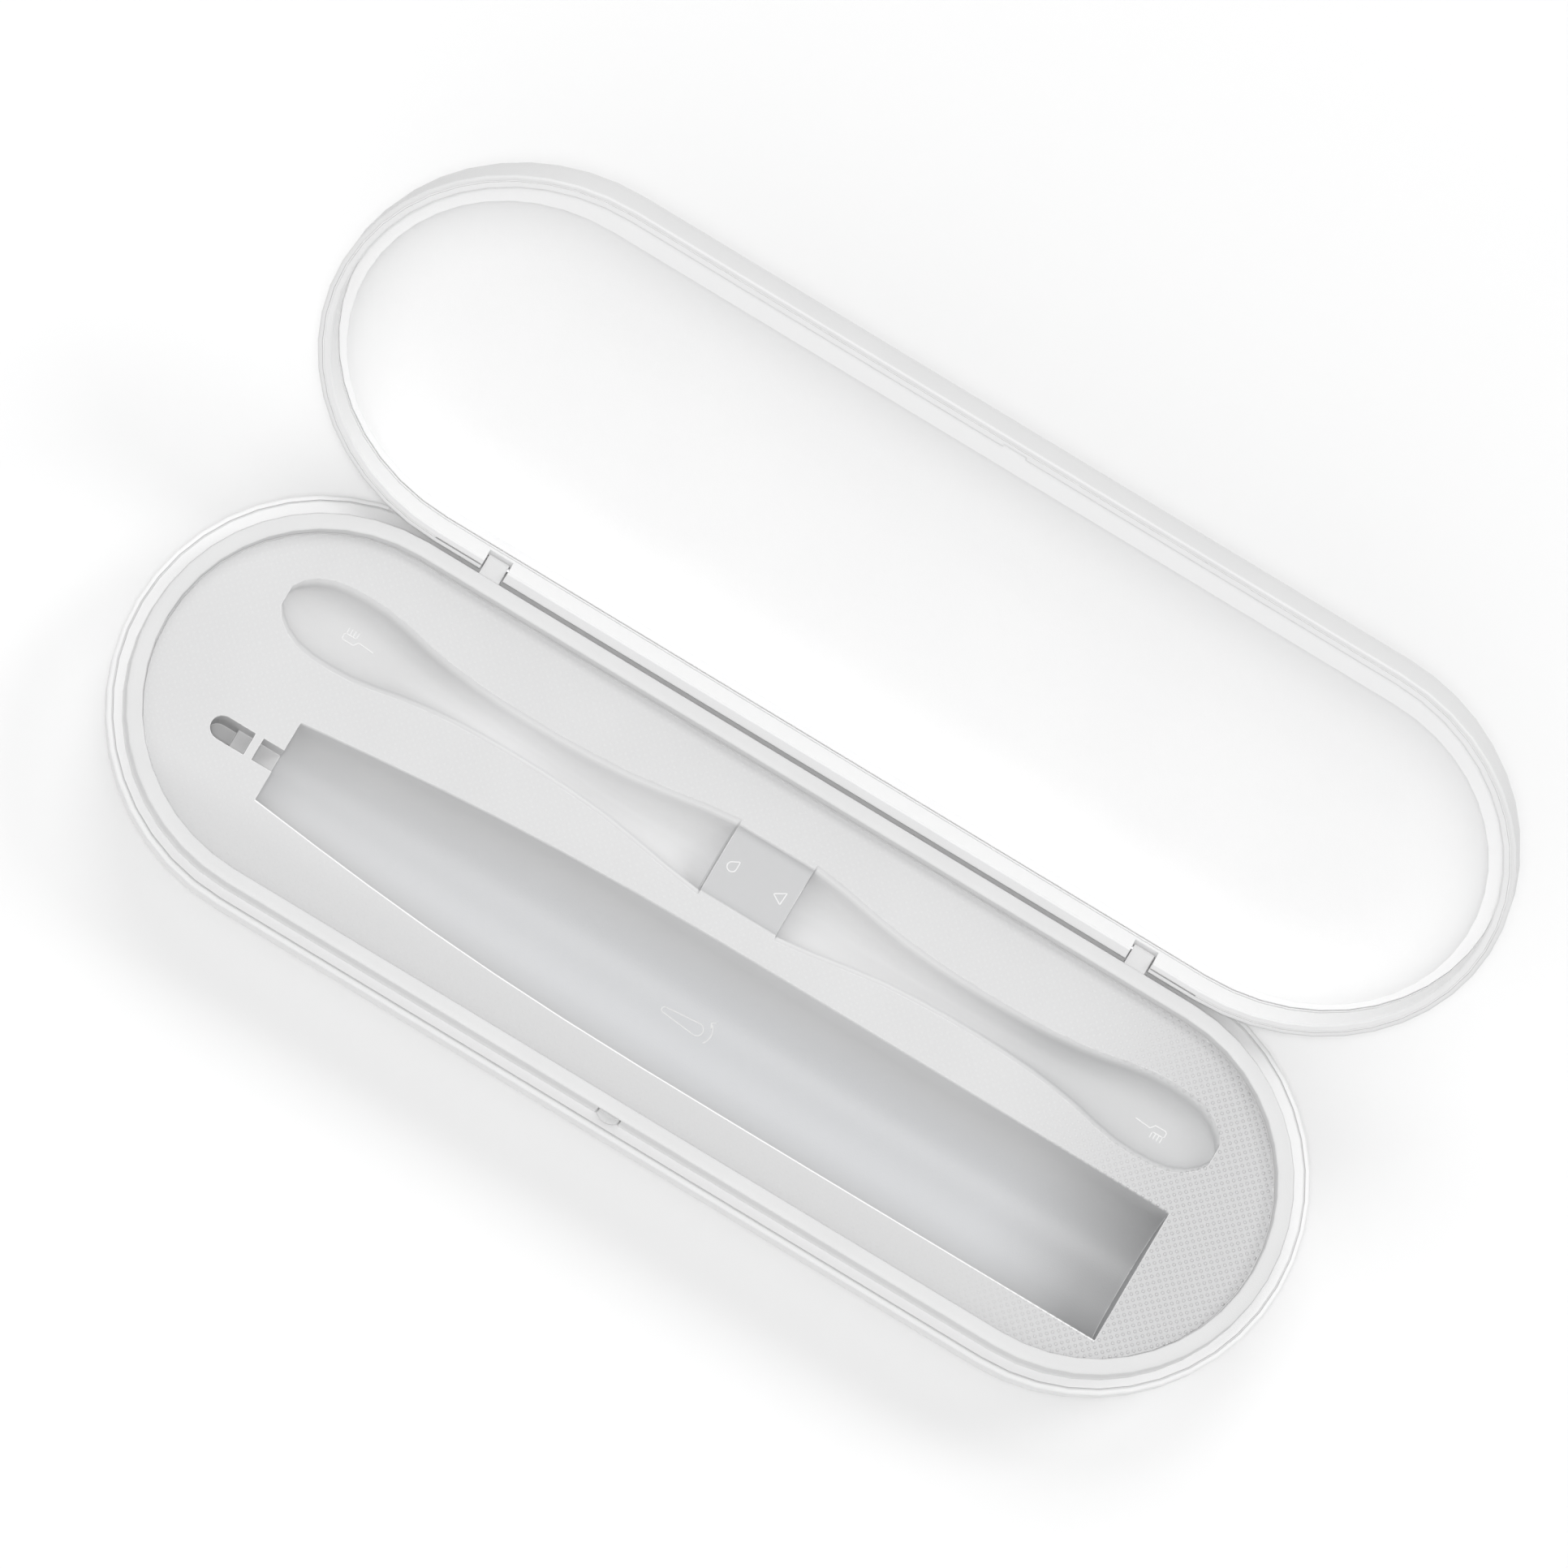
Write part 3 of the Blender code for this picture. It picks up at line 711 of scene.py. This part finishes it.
class Finishes:
    """Every finish of the case, ready to be put on its pieces."""

    mottle_share = 0.97

    def __init__(self, parting: float, deck_height: float, bay_height: float,
                 lid_mouth: Colour, lid_slope: Colour) -> None:
        """Builds the finishes.

        Args:
            parting: The height of the plane where the halves meet.
            deck_height: The height of the tray's deck.
            bay_height: The height of the handle bay's floor.
            lid_mouth: The direction that the open lid's mouth faces.
            lid_slope: The direction from the hinge up the open lid.
        """
        groups = SurfaceGroups()
        self.shell = MouldedPlastic(
            "satin_white_shell", grey(0.790), grey(0.780, 0.001), grey(0.86),
        ).made(groups)
        self.rim = MouldedPlastic(
            "satin_grey_rim", grey(0.640, 0.001), grey(0.625, 0.001), grey(0.76),
            roughness=0.40, grain_size=0.22 * MILLIMETRE, grain_depth=0.008 * MILLIMETRE,
            mottle_size=14 * MILLIMETRE, edge_round=0.30 * MILLIMETRE,
            # Painted light: the rim is lighter low down by the parting plane, lifting the shade on its
            # ledge.
            painted_light_zones=(PaintedLightZone((0.0, 0.0, 1.0), parting + 3.0 * MILLIMETRE, parting + 0.2 * MILLIMETRE,
                        grey(0.770, 0.001)),),
        ).made(groups)
        self.lid_rim = MouldedPlastic(
            "satin_grey_lid_rim", grey(0.760, 0.001), grey(0.745, 0.001), grey(0.86),
            roughness=0.40, grain_size=0.22 * MILLIMETRE, grain_depth=0.008 * MILLIMETRE,
            mottle_size=14 * MILLIMETRE,
            # Painted highlight: the rim's faces that turn away from the lid's mouth are lightened.
            painted_light_zones=(PaintedLightZone(lid_mouth, 0.55, 0.35, grey(0.82), by_facing=True),),
        ).made(groups)
        self.liner = MouldedPlastic(
            "satin_white_liner", grey(0.905), grey(0.895, 0.001), grey(0.92),
            roughness=0.34, rough_spread=0.08, grain_size=0.30 * MILLIMETRE,
            grain_depth=0.005 * MILLIMETRE, mottle_size=25 * MILLIMETRE, edge_round=0.30 * MILLIMETRE,
            line_share=0.3,
            # Painted shade: the liner darkens towards the lid's far end.
            painted_light_zones=(PaintedLightZone(lid_slope, 84 * MILLIMETRE, 122 * MILLIMETRE, grey(0.800, 0.002)),),
        ).made(groups)
        # The tray's third colour is painted shade deep in its bays; its fourth is the painted highlight on
        # studs and edges.
        self.tray = StuddedPlastic(
            "studded_grey_tray", grey(0.600, 0.002), grey(0.588, 0.002), (0.575, 0.582, 0.594),
            grey(0.93), roughness=0.52, bay_roughness=0.42, grain_size=0.25 * MILLIMETRE,
            grain_depth=0.006 * MILLIMETRE, stud_pitch=0.80 * MILLIMETRE, stud_depth=0.130 * MILLIMETRE,
            stud_highlight=0.24, edge_round=0.34 * MILLIMETRE, deck_height=deck_height,
            deck_band=0.5 * MILLIMETRE, bay_depth=7.0 * MILLIMETRE, bay_height=bay_height,
        ).made(groups)
        # Painted highlight: the raised marks are lighter than the tray they stand on.
        self.mark = MouldedPlastic(
            "raised_mark_painted_highlight", grey(0.76), grey(0.74), grey(0.86), roughness=0.36, rough_spread=0.10,
            grain_size=0.15 * MILLIMETRE, mottle_size=2 * MILLIMETRE, edge_round=0.05 * MILLIMETRE,
        ).made(groups)
        # Painted shade: the lid shell is a darker copy of the base shell's white.
        self.lid_shell = MouldedPlastic(
            "satin_white_lid_painted_shade", grey(0.715), grey(0.705, 0.001), grey(0.80),
        ).made(groups)
        self.base_seam = self.seam("base_seam_line", 0.70, groups)
        self.tray_seam = self.seam("tray_seam_line", 0.62, groups)
        self.lid_seam = self.seam("lid_seam_line", 0.84, groups)
        self.pin = TurnedSteel().made(groups)

    def seam(self, name: str, tone: float, groups: SurfaceGroups) -> Finish:
        """Builds the finish of a weld line.

        Args:
            name: The material's name.
            tone: Its grey, from 0 to 1.
            groups: The shared node groups.

        Returns:
            The finish.
        """
        return MouldedPlastic(
            name, grey(tone), grey(tone * self.mottle_share), grey(tone), roughness=0.50,
            rough_spread=0.10, grain_size=0.20 * MILLIMETRE, mottle_size=6 * MILLIMETRE,
            edge_round=0.05 * MILLIMETRE,
        ).made(groups)


@dataclass
class SmoothShading:
    """A modifier that welds a solid's faces and keeps only its real edges crisp."""

    crisp_angle: float = math.radians(28.0)
    weld: float = 0.002 * MILLIMETRE

    @cached_property
    def tree(self) -> bpy.types.NodeTree:
        """The modifier's tree: it merges corners and shades smoothly over every edge below crisp_angle."""
        tree = bpy.data.node_groups.new("smooth_shading", "GeometryNodeTree")
        tree.interface.new_socket(name="Geometry", in_out="INPUT", socket_type="NodeSocketGeometry")
        tree.interface.new_socket(name="Geometry", in_out="OUTPUT", socket_type="NodeSocketGeometry")
        bench = NodeBench(tree)
        given = bench.add("NodeGroupInput")
        bare = bench.add("GeometryNodeRemoveAttribute", Geometry=given.outputs[0], Name="custom_normal")
        welded = bench.add("GeometryNodeMergeByDistance", Geometry=bare.outputs[0], Distance=self.weld)
        soft = bench.add("GeometryNodeSetShadeSmooth")
        soft.domain = "FACE"
        bench.feed(soft, 0, welded.outputs[0])
        bend = bench.add("GeometryNodeInputMeshEdgeAngle")
        sharp = bench.add("FunctionNodeCompare")
        sharp.data_type = "FLOAT"
        sharp.operation = "GREATER_THAN"
        bench.feed(sharp, 0, bend.outputs["Unsigned Angle"])
        bench.feed(sharp, 1, self.crisp_angle)
        crisp = bench.add("GeometryNodeSetShadeSmooth")
        crisp.domain = "EDGE"
        bench.feed(crisp, 0, soft.outputs[0])
        bench.feed(crisp, 1, sharp.outputs[0])
        crisp.inputs["Shade Smooth"].default_value = False
        bench.add("NodeGroupOutput", Geometry=crisp.outputs[0])
        return tree

    def put_on(self, piece: bpy.types.Object) -> None:
        """Adds the modifier to a piece.

        Args:
            piece: The mesh object.
        """
        piece.modifiers.new("smooth_shading", "NODES").node_group = self.tree


def dress(piece: bpy.types.Object, finish: Finish) -> None:
    """Puts one finish on all of a piece.

    Args:
        piece: The mesh object.
        finish: The finish that it gets.
    """
    piece.data.materials.clear()
    piece.data.materials.append(finish.material)


@dataclass
class BaseHalf:
    """The base: outer shell, rim frame with its collar, tray, catch and hinge pins."""

    nodes: dict[str, bpy.types.Object]
    finishes: Finishes

    def dress(self) -> None:
        """Gives each piece of the base its finish."""
        finishes = self.finishes
        coats = {
            "base_shell": finishes.shell, "base_rim": finishes.rim, "front_catch": finishes.rim,
            "tray": finishes.tray, "hinge_pin_left": finishes.pin, "hinge_pin_right": finishes.pin,
        }
        for name, finish in coats.items():
            dress(self.nodes[name], finish)
        LOG.info("dressed the base's %d pieces", len(coats))


@dataclass
class LidHalf:
    """The lid: outer shell, rim ring with the hinge barrel, and liner."""

    nodes: dict[str, bpy.types.Object]
    finishes: Finishes

    def dress(self) -> None:
        """Gives each piece of the lid its finish."""
        finishes = self.finishes
        coats = {"lid_shell": finishes.lid_shell, "lid_rim": finishes.lid_rim, "lid_liner": finishes.liner}
        for name, finish in coats.items():
            dress(self.nodes[name], finish)
        LOG.info("dressed the lid's %d pieces", len(coats))


@dataclass(frozen=True)
class Stadium:
    """An outline with two straight sides and two round ends."""

    radius: float
    straight: float
    shift: float = 0.0
    arc_steps: int = 22

    def points(self, offset: float) -> list[tuple[float, float]]:
        """Walks the outline from the left of its back, round the front, to the right of its back.

        Args:
            offset: How far the outline is grown.

        Returns:
            The corners, which leave only the back's straight side open.
        """
        reach = self.radius + offset
        corners = []
        for side, start in ((-1, math.pi / 2), (1, -math.pi / 2)):
            for step in range(self.arc_steps + 1):
                angle = start + math.pi * step / self.arc_steps
                x = side * self.straight + reach * math.cos(angle)
                corners.append((x, self.shift + reach * math.sin(angle)))
        return corners


def opening(hinge: dict[str, object]) -> Matrix:
    """Gives the lid's turn from the closed case to the pose at rest.

    Args:
        hinge: The frame's joint, whose range ends at the closed case.

    Returns:
        The turn about the hinge's axis.
    """
    pivot = Matrix.Translation(Vector(hinge["pos_m"]))
    angle = math.radians(hinge["range_deg"][1])
    return pivot @ Matrix.Rotation(-angle, 4, "X") @ pivot.inverted()


@dataclass(frozen=True)
class Seam:
    """A weld line: the outline that it follows and the box of its section."""

    name: str
    outline: Stadium
    inner: float
    outer: float
    low: float
    high: float
    body: Body
    slot: Slot
    closed: bool = True


@dataclass
class WeldLines:
    """The fine light lines where the pieces of each half are welded together."""

    finishes: Finishes
    hinge: dict[str, object]
    gap: float = 0.30 * MILLIMETRE
    slack: float = 0.02 * MILLIMETRE
    sunk: float = 0.27 * MILLIMETRE
    tray_sunk: float = 0.15 * MILLIMETRE
    depth: float = 0.60 * MILLIMETRE
    rim_width: float = 1.30 * MILLIMETRE
    rim_height: float = 4.80 * MILLIMETRE

    def seams(self) -> list[tuple[Seam, Finish]]:
        """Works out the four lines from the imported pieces.

        Returns:
            Each line with its finish.
        """
        rim_low, rim_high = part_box("base_rim")
        tray_low, tray_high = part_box("tray")
        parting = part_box("base_shell")[1].z
        case = Stadium(-rim_low.y, rim_high.x + rim_low.y)
        deck_radius = (tray_high.y - tray_low.y) / 2
        deck = Stadium(deck_radius, tray_high.x - deck_radius, (tray_high.y + tray_low.y) / 2)
        near, far = self.slack, self.gap - self.slack
        mouth = parting + self.gap
        rim_top = mouth + self.rim_height
        return [
            (Seam("base_seam", case, near, far, parting - self.depth, parting - self.sunk,
                  Body.BASE, Slot.SHELL), self.finishes.base_seam),
            (Seam("tray_seam", deck, near, far, tray_high.z - self.depth, tray_high.z - self.tray_sunk,
                  Body.BASE, Slot.TRAY), self.finishes.tray_seam),
            (Seam("lid_seam", case, near, far, mouth + self.tray_sunk, mouth + self.depth,
                  Body.LID, Slot.SHELL, closed=False), self.finishes.lid_seam),
            (Seam("liner_seam", case, self.sunk / 2 - self.rim_width, self.depth - self.rim_width,
                  rim_top + near, rim_top + far, Body.LID, Slot.LINER), self.finishes.lid_seam),
        ]

    def add(self, seam: Seam, finish: Finish) -> bpy.types.Object:
        """Builds one line.

        Args:
            seam: The line.
            finish: Its finish.

        Returns:
            Its object.
        """
        bm = bmesh.new()
        inner, outer = seam.outline.points(seam.inner), seam.outline.points(seam.outer)
        sections = []
        for (x1, y1), (x2, y2) in zip(inner, outer):
            corners = ((x1, y1, seam.low), (x2, y2, seam.low), (x2, y2, seam.high), (x1, y1, seam.high))
            sections.append([bm.verts.new(corner) for corner in corners])
        join_rings(bm, sections, closed=seam.closed)
        bmesh.ops.recalc_face_normals(bm, faces=bm.faces)
        if seam.body is Body.LID:
            bmesh.ops.transform(bm, matrix=opening(self.hinge), verts=bm.verts)
        piece = place_mesh(seam.name, bm, finish.material)
        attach(piece, seam.body.value)
        return piece

    def build(self) -> list[bpy.types.Object]:
        """Builds every line.

        Returns:
            The lines' objects.
        """
        made = [self.add(seam, finish) for seam, finish in self.seams()]
        LOG.info("built %d weld lines", len(made))
        return made


class MarkKind(Enum):
    """The marks moulded in the bays, all plain shapes."""

    BRUSH_HEAD = "brush_head"
    DROP = "drop"
    ARROWHEAD = "arrowhead"
    HANDLE = "handle"


@dataclass(frozen=True)
class Mark:
    """One mark: what it shows, its middle and length in millimetres, and how it is turned."""

    name: str
    kind: MarkKind
    across: tuple[float, float]
    length: float
    turn: float = 0.0


@dataclass
class BayMarks:
    """Small raised marks that show what each bay of the tray holds."""

    tray: bpy.types.Object
    finishes: Finishes
    line_radius: float = 0.15 * MILLIMETRE
    end_taper: float = 0.55
    sunk_share: float = 0.35
    step: float = 0.25 * MILLIMETRE
    sides: int = 8
    marks: tuple[Mark, ...] = (
        Mark("mark_brush_left", MarkKind.BRUSH_HEAD, (-82.4, 14.7), 6.4),
        Mark("mark_brush_right", MarkKind.BRUSH_HEAD, (85.8, 14.4), 6.4, math.pi),
        Mark("mark_drop", MarkKind.DROP, (-3.5, 14.8), 2.6, math.radians(-31)),
        Mark("mark_arrowhead", MarkKind.ARROWHEAD, (6.8, 14.5), 2.6, math.radians(-31)),
        Mark("mark_handle", MarkKind.HANDLE, (4.0, -11.5), 10.8),
    )

    @cached_property
    def ground(self) -> BVHTree:
        """The tray's faces, ready for rays."""
        mesh = self.tray.data
        return BVHTree.FromPolygons([corner.co.copy() for corner in mesh.vertices],
                                    [tuple(face.vertices) for face in mesh.polygons])

    def strokes(self, kind: MarkKind) -> list[Stroke]:
        """Draws a mark in a frame one unit long, centred on nothing.

        Args:
            kind: Which mark.

        Returns:
            Its strokes as lists of points.
        """
        if kind is MarkKind.BRUSH_HEAD:
            return self.brush_head_strokes()
        if kind is MarkKind.DROP:
            return [self.drop_stroke()]
        if kind is MarkKind.ARROWHEAD:
            return [[(-0.45, -0.40), (0.45, -0.40), (0.0, 0.45), (-0.45, -0.40)]]
        return self.handle_strokes()

    def brush_head_strokes(self) -> list[Stroke]:
        """The side view of a brush head: a back, a neck and four tufts."""
        back = [(0.50, 0.02), (-0.02, 0.06), (-0.12, -0.08), (-0.46, -0.08), (-0.50, -0.04), (-0.50, 0.08),
                (-0.46, 0.12)]
        tufts = [[(-0.46 + 0.11 * k, 0.12), (-0.46 + 0.11 * k, 0.32)] for k in range(4)]
        return [back, *tufts, [(-0.46, 0.12), (-0.13, 0.12)]]

    def arc(self, middle: tuple[float, float], radii: tuple[float, float], start: float, end: float,
            steps: int = 12) -> Stroke:
        """Walks a part of an ellipse.

        Args:
            middle: The ellipse's middle.
            radii: Its half width and half height.
            start: The angle where the walk starts, in degrees.
            end: The angle where it ends, in degrees.
            steps: How many steps it takes.

        Returns:
            The points of the walk.
        """
        points = []
        for step in range(steps + 1):
            angle = math.radians(start + (end - start) * step / steps)
            points.append((middle[0] + radii[0] * math.cos(angle), middle[1] + radii[1] * math.sin(angle)))
        return points

    def drop_stroke(self) -> Stroke:
        """The outline of a drop of water, its point up."""
        tip = (0.0, 0.55)
        return [tip, *self.arc((0.0, -0.14), (0.36, 0.36), 35, -215), tip]

    def handle_strokes(self) -> list[Stroke]:
        """A slim handle lying down, with an arrow that curves up at its thick end."""
        outline = self.arc((-0.42, 0.0), (0.05, 0.05), 90, 270)
        outline += self.arc((0.22, 0.0), (0.11, 0.11), -90, 90)
        outline.append(outline[0])
        curve = self.arc((0.30, 0.02), (0.18, 0.22), -50, 65, steps=10)
        tip = curve[-1]
        return [outline, curve, [(tip[0] + 0.09, tip[1] + 0.05), tip, (tip[0] + 0.05, tip[1] - 0.09)]]

    def dropped(self, x: float, y: float) -> tuple[Vector, Vector]:
        """Finds the tray under a place.

        Args:
            x: The place along the case.
            y: The place across it.

        Returns:
            The point on the tray and the direction that it faces.
        """
        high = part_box("tray")[1].z + MILLIMETRE
        point, normal, _, _ = self.ground.ray_cast(Vector((x, y, high)), Vector((0.0, 0.0, -1.0)))
        return point, normal

    def walked(self, stroke: Stroke, mark: Mark) -> list[tuple[Vector, Vector]]:
        """Lays a stroke on the tray in short steps.

        Args:
            stroke: The stroke in the mark's own frame.
            mark: The mark that it belongs to.

        Returns:
            A point and a direction on the tray for each step.
        """
        turn = Matrix.Rotation(mark.turn, 2)
        corners = [(turn @ (Vector(point) * mark.length) + Vector(mark.across)) * MILLIMETRE
                   for point in stroke]
        places = []
        for start, end in zip(corners, corners[1:]):
            count = max(1, round((end - start).length / self.step))
            places += [start.lerp(end, k / count) for k in range(count)]
        places.append(corners[-1])
        return [self.dropped(place.x, place.y) for place in places]

    def add_bead(self, bm: bmesh.types.BMesh, path: list[tuple[Vector, Vector]]) -> None:
        """Adds a round bead along a path, partly sunk in the tray.

        Args:
            bm: The mesh that it goes into.
            path: The points and the directions that they face.
        """
        rings = []
        last = len(path) - 1
        for index, (point, normal) in enumerate(path):
            along = (path[min(index + 1, last)][0] - path[max(index - 1, 0)][0]).normalized()
            side = normal.cross(along).normalized()
            taper = self.end_taper if index in (0, last) else 1.0
            middle = point - normal * self.line_radius * self.sunk_share
            ring = []
            for k in range(self.sides):
                angle = 2 * math.pi * k / self.sides
                offset = side * math.cos(angle) + normal * math.sin(angle)
                ring.append(bm.verts.new(middle + offset * self.line_radius * taper))
            rings.append(ring)
        join_rings(bm, rings)

    def build(self) -> list[bpy.types.Object]:
        """Builds every mark.

        Returns:
            The marks' objects.
        """
        made = []
        for mark in self.marks:
            bm = bmesh.new()
            for stroke in self.strokes(mark.kind):
                self.add_bead(bm, self.walked(stroke, mark))
            bmesh.ops.recalc_face_normals(bm, faces=bm.faces)
            piece = place_mesh(mark.name, bm, self.finishes.mark.material)
            piece.data.shade_smooth()
            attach(piece, Body.BASE.value)
            LOG.info("built %s", mark.name)
            made.append(piece)
        return made


@dataclass(frozen=True)
class PictureView:
    """The camera: a long lens high over the front of the case."""

    azimuth: float = math.radians(-8.0)
    elevation: float = math.radians(76.0)
    roll: float = math.radians(38.9)
    distance: float = 6.0
    pixels_per_metre: float = 6800.0
    picture_side: float = 1932.0
    sensor: float = 36.0
    anchor_pixel: tuple[float, float] = (874.0, 1164.0)

    def build(self, anchor: Vector) -> bpy.types.Object:
        """Makes the camera.

        Args:
            anchor: The place that lies at anchor_pixel in the picture.

        Returns:
            The camera's object.
        """
        back = direction(self.azimuth, self.elevation)
        level = Vector((math.cos(self.azimuth), math.sin(self.azimuth), 0.0))
        upright = back.cross(level)
        right = level * math.cos(self.roll) + upright * math.sin(self.roll)
        up = upright * math.cos(self.roll) - level * math.sin(self.roll)
        half = self.picture_side / 2
        aside = (half - self.anchor_pixel[0]) / self.pixels_per_metre
        above = (self.anchor_pixel[1] - half) / self.pixels_per_metre
        target = anchor + right * aside + up * above
        data = bpy.data.cameras.new("picture_camera")
        data.sensor_width = self.sensor
        data.lens = self.sensor * self.pixels_per_metre * self.distance / self.picture_side
        data.clip_start = 0.1
        data.clip_end = 50.0
        camera = bpy.data.objects.new("picture_camera", data)
        turn = Matrix((right, up, back)).transposed().to_4x4()
        camera.matrix_world = Matrix.Translation(target + back * self.distance) @ turn
        bpy.context.scene.collection.objects.link(camera)
        bpy.context.scene.camera = camera
        return camera


@dataclass(frozen=True)
class SoftSun:
    """A soft light from one side, its angles in degrees."""

    name: str
    azimuth: float
    elevation: float
    strength: float
    spread: float

    def build(self) -> None:
        """Makes the lamp."""
        place = direction(math.radians(self.azimuth), math.radians(self.elevation))
        data = bpy.data.lights.new(self.name, "SUN")
        data.energy = self.strength
        data.angle = math.radians(self.spread)
        lamp = bpy.data.objects.new(self.name, data)
        lamp.location = place
        lamp.rotation_mode = "QUATERNION"
        lamp.rotation_quaternion = place.to_track_quat("Z", "Y")
        bpy.context.scene.collection.objects.link(lamp)


@dataclass
class WhiteStudio:
    """A white table under a white sky, with four soft lights."""

    sky_strength: float = 0.46
    table_radius: float = 4.0
    table_rings: int = 6
    table_sides: int = 96
    table_colour: Colour = (0.80, 0.80, 0.80)
    table_glow: float = 0.05
    suns: tuple[SoftSun, ...] = (
        SoftSun("key", azimuth=204.0, elevation=50.0, strength=0.66, spread=34.0),
        SoftSun("right_side", azimuth=138.0, elevation=42.0, strength=0.60, spread=24.0),
        SoftSun("front_fill", azimuth=-10.0, elevation=45.0, strength=0.72, spread=80.0),
        SoftSun("top_fill", azimuth=-8.0, elevation=76.0, strength=0.98, spread=6.0),
    )

    def seen_directly(self, bench: NodeBench) -> bpy.types.NodeSocket:
        """A value of 1 for a ray from the camera, a gloss or a glass, and 0 otherwise.

        Args:
            bench: The bench of the material or the world.

        Returns:
            The value.
        """
        path = bench.add("ShaderNodeLightPath")
        plain = bench.sum("MAXIMUM", path.outputs["Is Camera Ray"], path.outputs["Is Glossy Ray"])
        return bench.sum("MAXIMUM", plain, path.outputs["Is Transmission Ray"])

    def build_sky(self) -> None:
        """Makes the world: an even white sky, seen as plain white."""
        world = bpy.data.worlds.new("white_sky")
        world.use_nodes = True
        bpy.context.scene.world = world
        world.node_tree.nodes.clear()
        bench = NodeBench(world.node_tree)
        light = bench.add("ShaderNodeBackground", Strength=self.sky_strength)
        shown = bench.add("ShaderNodeBackground", Strength=1.0)
        for node in (light, shown):
            node.inputs["Color"].default_value = (1.0, 1.0, 1.0, 1.0)
        mix = bench.add("ShaderNodeMixShader")
        for index, value in enumerate((self.seen_directly(bench), light.outputs[0], shown.outputs[0])):
            bench.feed(mix, index, value)
        bench.add("ShaderNodeOutputWorld", Surface=mix.outputs[0])

    def build_table(self) -> None:
        """Makes the table, white where no shadow falls."""
        material = bpy.data.materials.new("white_table")
        material.use_nodes = True
        material.node_tree.nodes.clear()
        bench = NodeBench(material.node_tree)
        matte = bench.add("ShaderNodeBsdfDiffuse")
        matte.inputs["Color"].default_value = (*self.table_colour, 1.0)
        glow = bench.add("ShaderNodeEmission", Strength=self.table_glow)
        both = bench.add("ShaderNodeAddShader")
        bench.feed(both, 0, matte.outputs[0])
        bench.feed(both, 1, glow.outputs[0])
        mix = bench.add("ShaderNodeMixShader")
        for index, value in enumerate((self.seen_directly(bench), matte.outputs[0], both.outputs[0])):
            bench.feed(mix, index, value)
        bench.add("ShaderNodeOutputMaterial", Surface=mix.outputs[0])
        bm = bmesh.new()
        middle = bm.verts.new((0.0, 0.0, 0.0))
        rings = []
        angles = [2 * math.pi * k / self.table_sides for k in range(self.table_sides)]
        for ring in range(1, self.table_rings + 1):
            radius = self.table_radius * (ring / self.table_rings) ** 2
            rings.append([bm.verts.new((radius * math.cos(angle), radius * math.sin(angle), 0.0))
                          for angle in angles])
        for k in range(self.table_sides):
            n = (k + 1) % self.table_sides
            bm.faces.new((middle, rings[0][k], rings[0][n]))
            for low, high in zip(rings, rings[1:]):
                bm.faces.new((low[k], high[k], high[n], low[n]))
        place_mesh("table", bm, material)

    def build(self) -> None:
        """Builds the sky, the table and the lights."""
        self.build_sky()
        self.build_table()
        for sun in self.suns:
            sun.build()
        bpy.context.scene.view_settings.view_transform = "Standard"
        LOG.info("built the studio with %d lights", len(self.suns))


def main() -> None:
    """Loads the frame, dresses both halves of the case, and sets the view and the lights."""
    logging.basicConfig(level=logging.INFO, format="%(name)s: %(message)s")
    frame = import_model()
    nodes = frame["nodes"]
    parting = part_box("base_shell")[1].z
    PictureView().build(Vector((0.0, 0.0, parting)))
    tray_low, tray_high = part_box("tray")
    hinge = frame["joints"][0]
    turn = opening(hinge).to_3x3()
    lid_mouth = turn @ Vector((0.0, 0.0, -1.0))
    lid_slope = turn @ Vector((0.0, -1.0, 0.0))
    finishes = Finishes(parting, tray_high.z, tray_low.z, tuple(lid_mouth), tuple(lid_slope))
    BaseHalf(nodes, finishes).dress()
    LidHalf(nodes, finishes).dress()
    shading = SmoothShading()
    for piece in nodes.values():
        shading.put_on(piece)
    WeldLines(finishes, hinge).build()
    marks = BayMarks(nodes["tray"], finishes).build()
    WhiteStudio().build()
    LOG.info("the case has %d packed pieces and %d marks", len(nodes), len(marks))


if __name__ == "__main__":
    main()
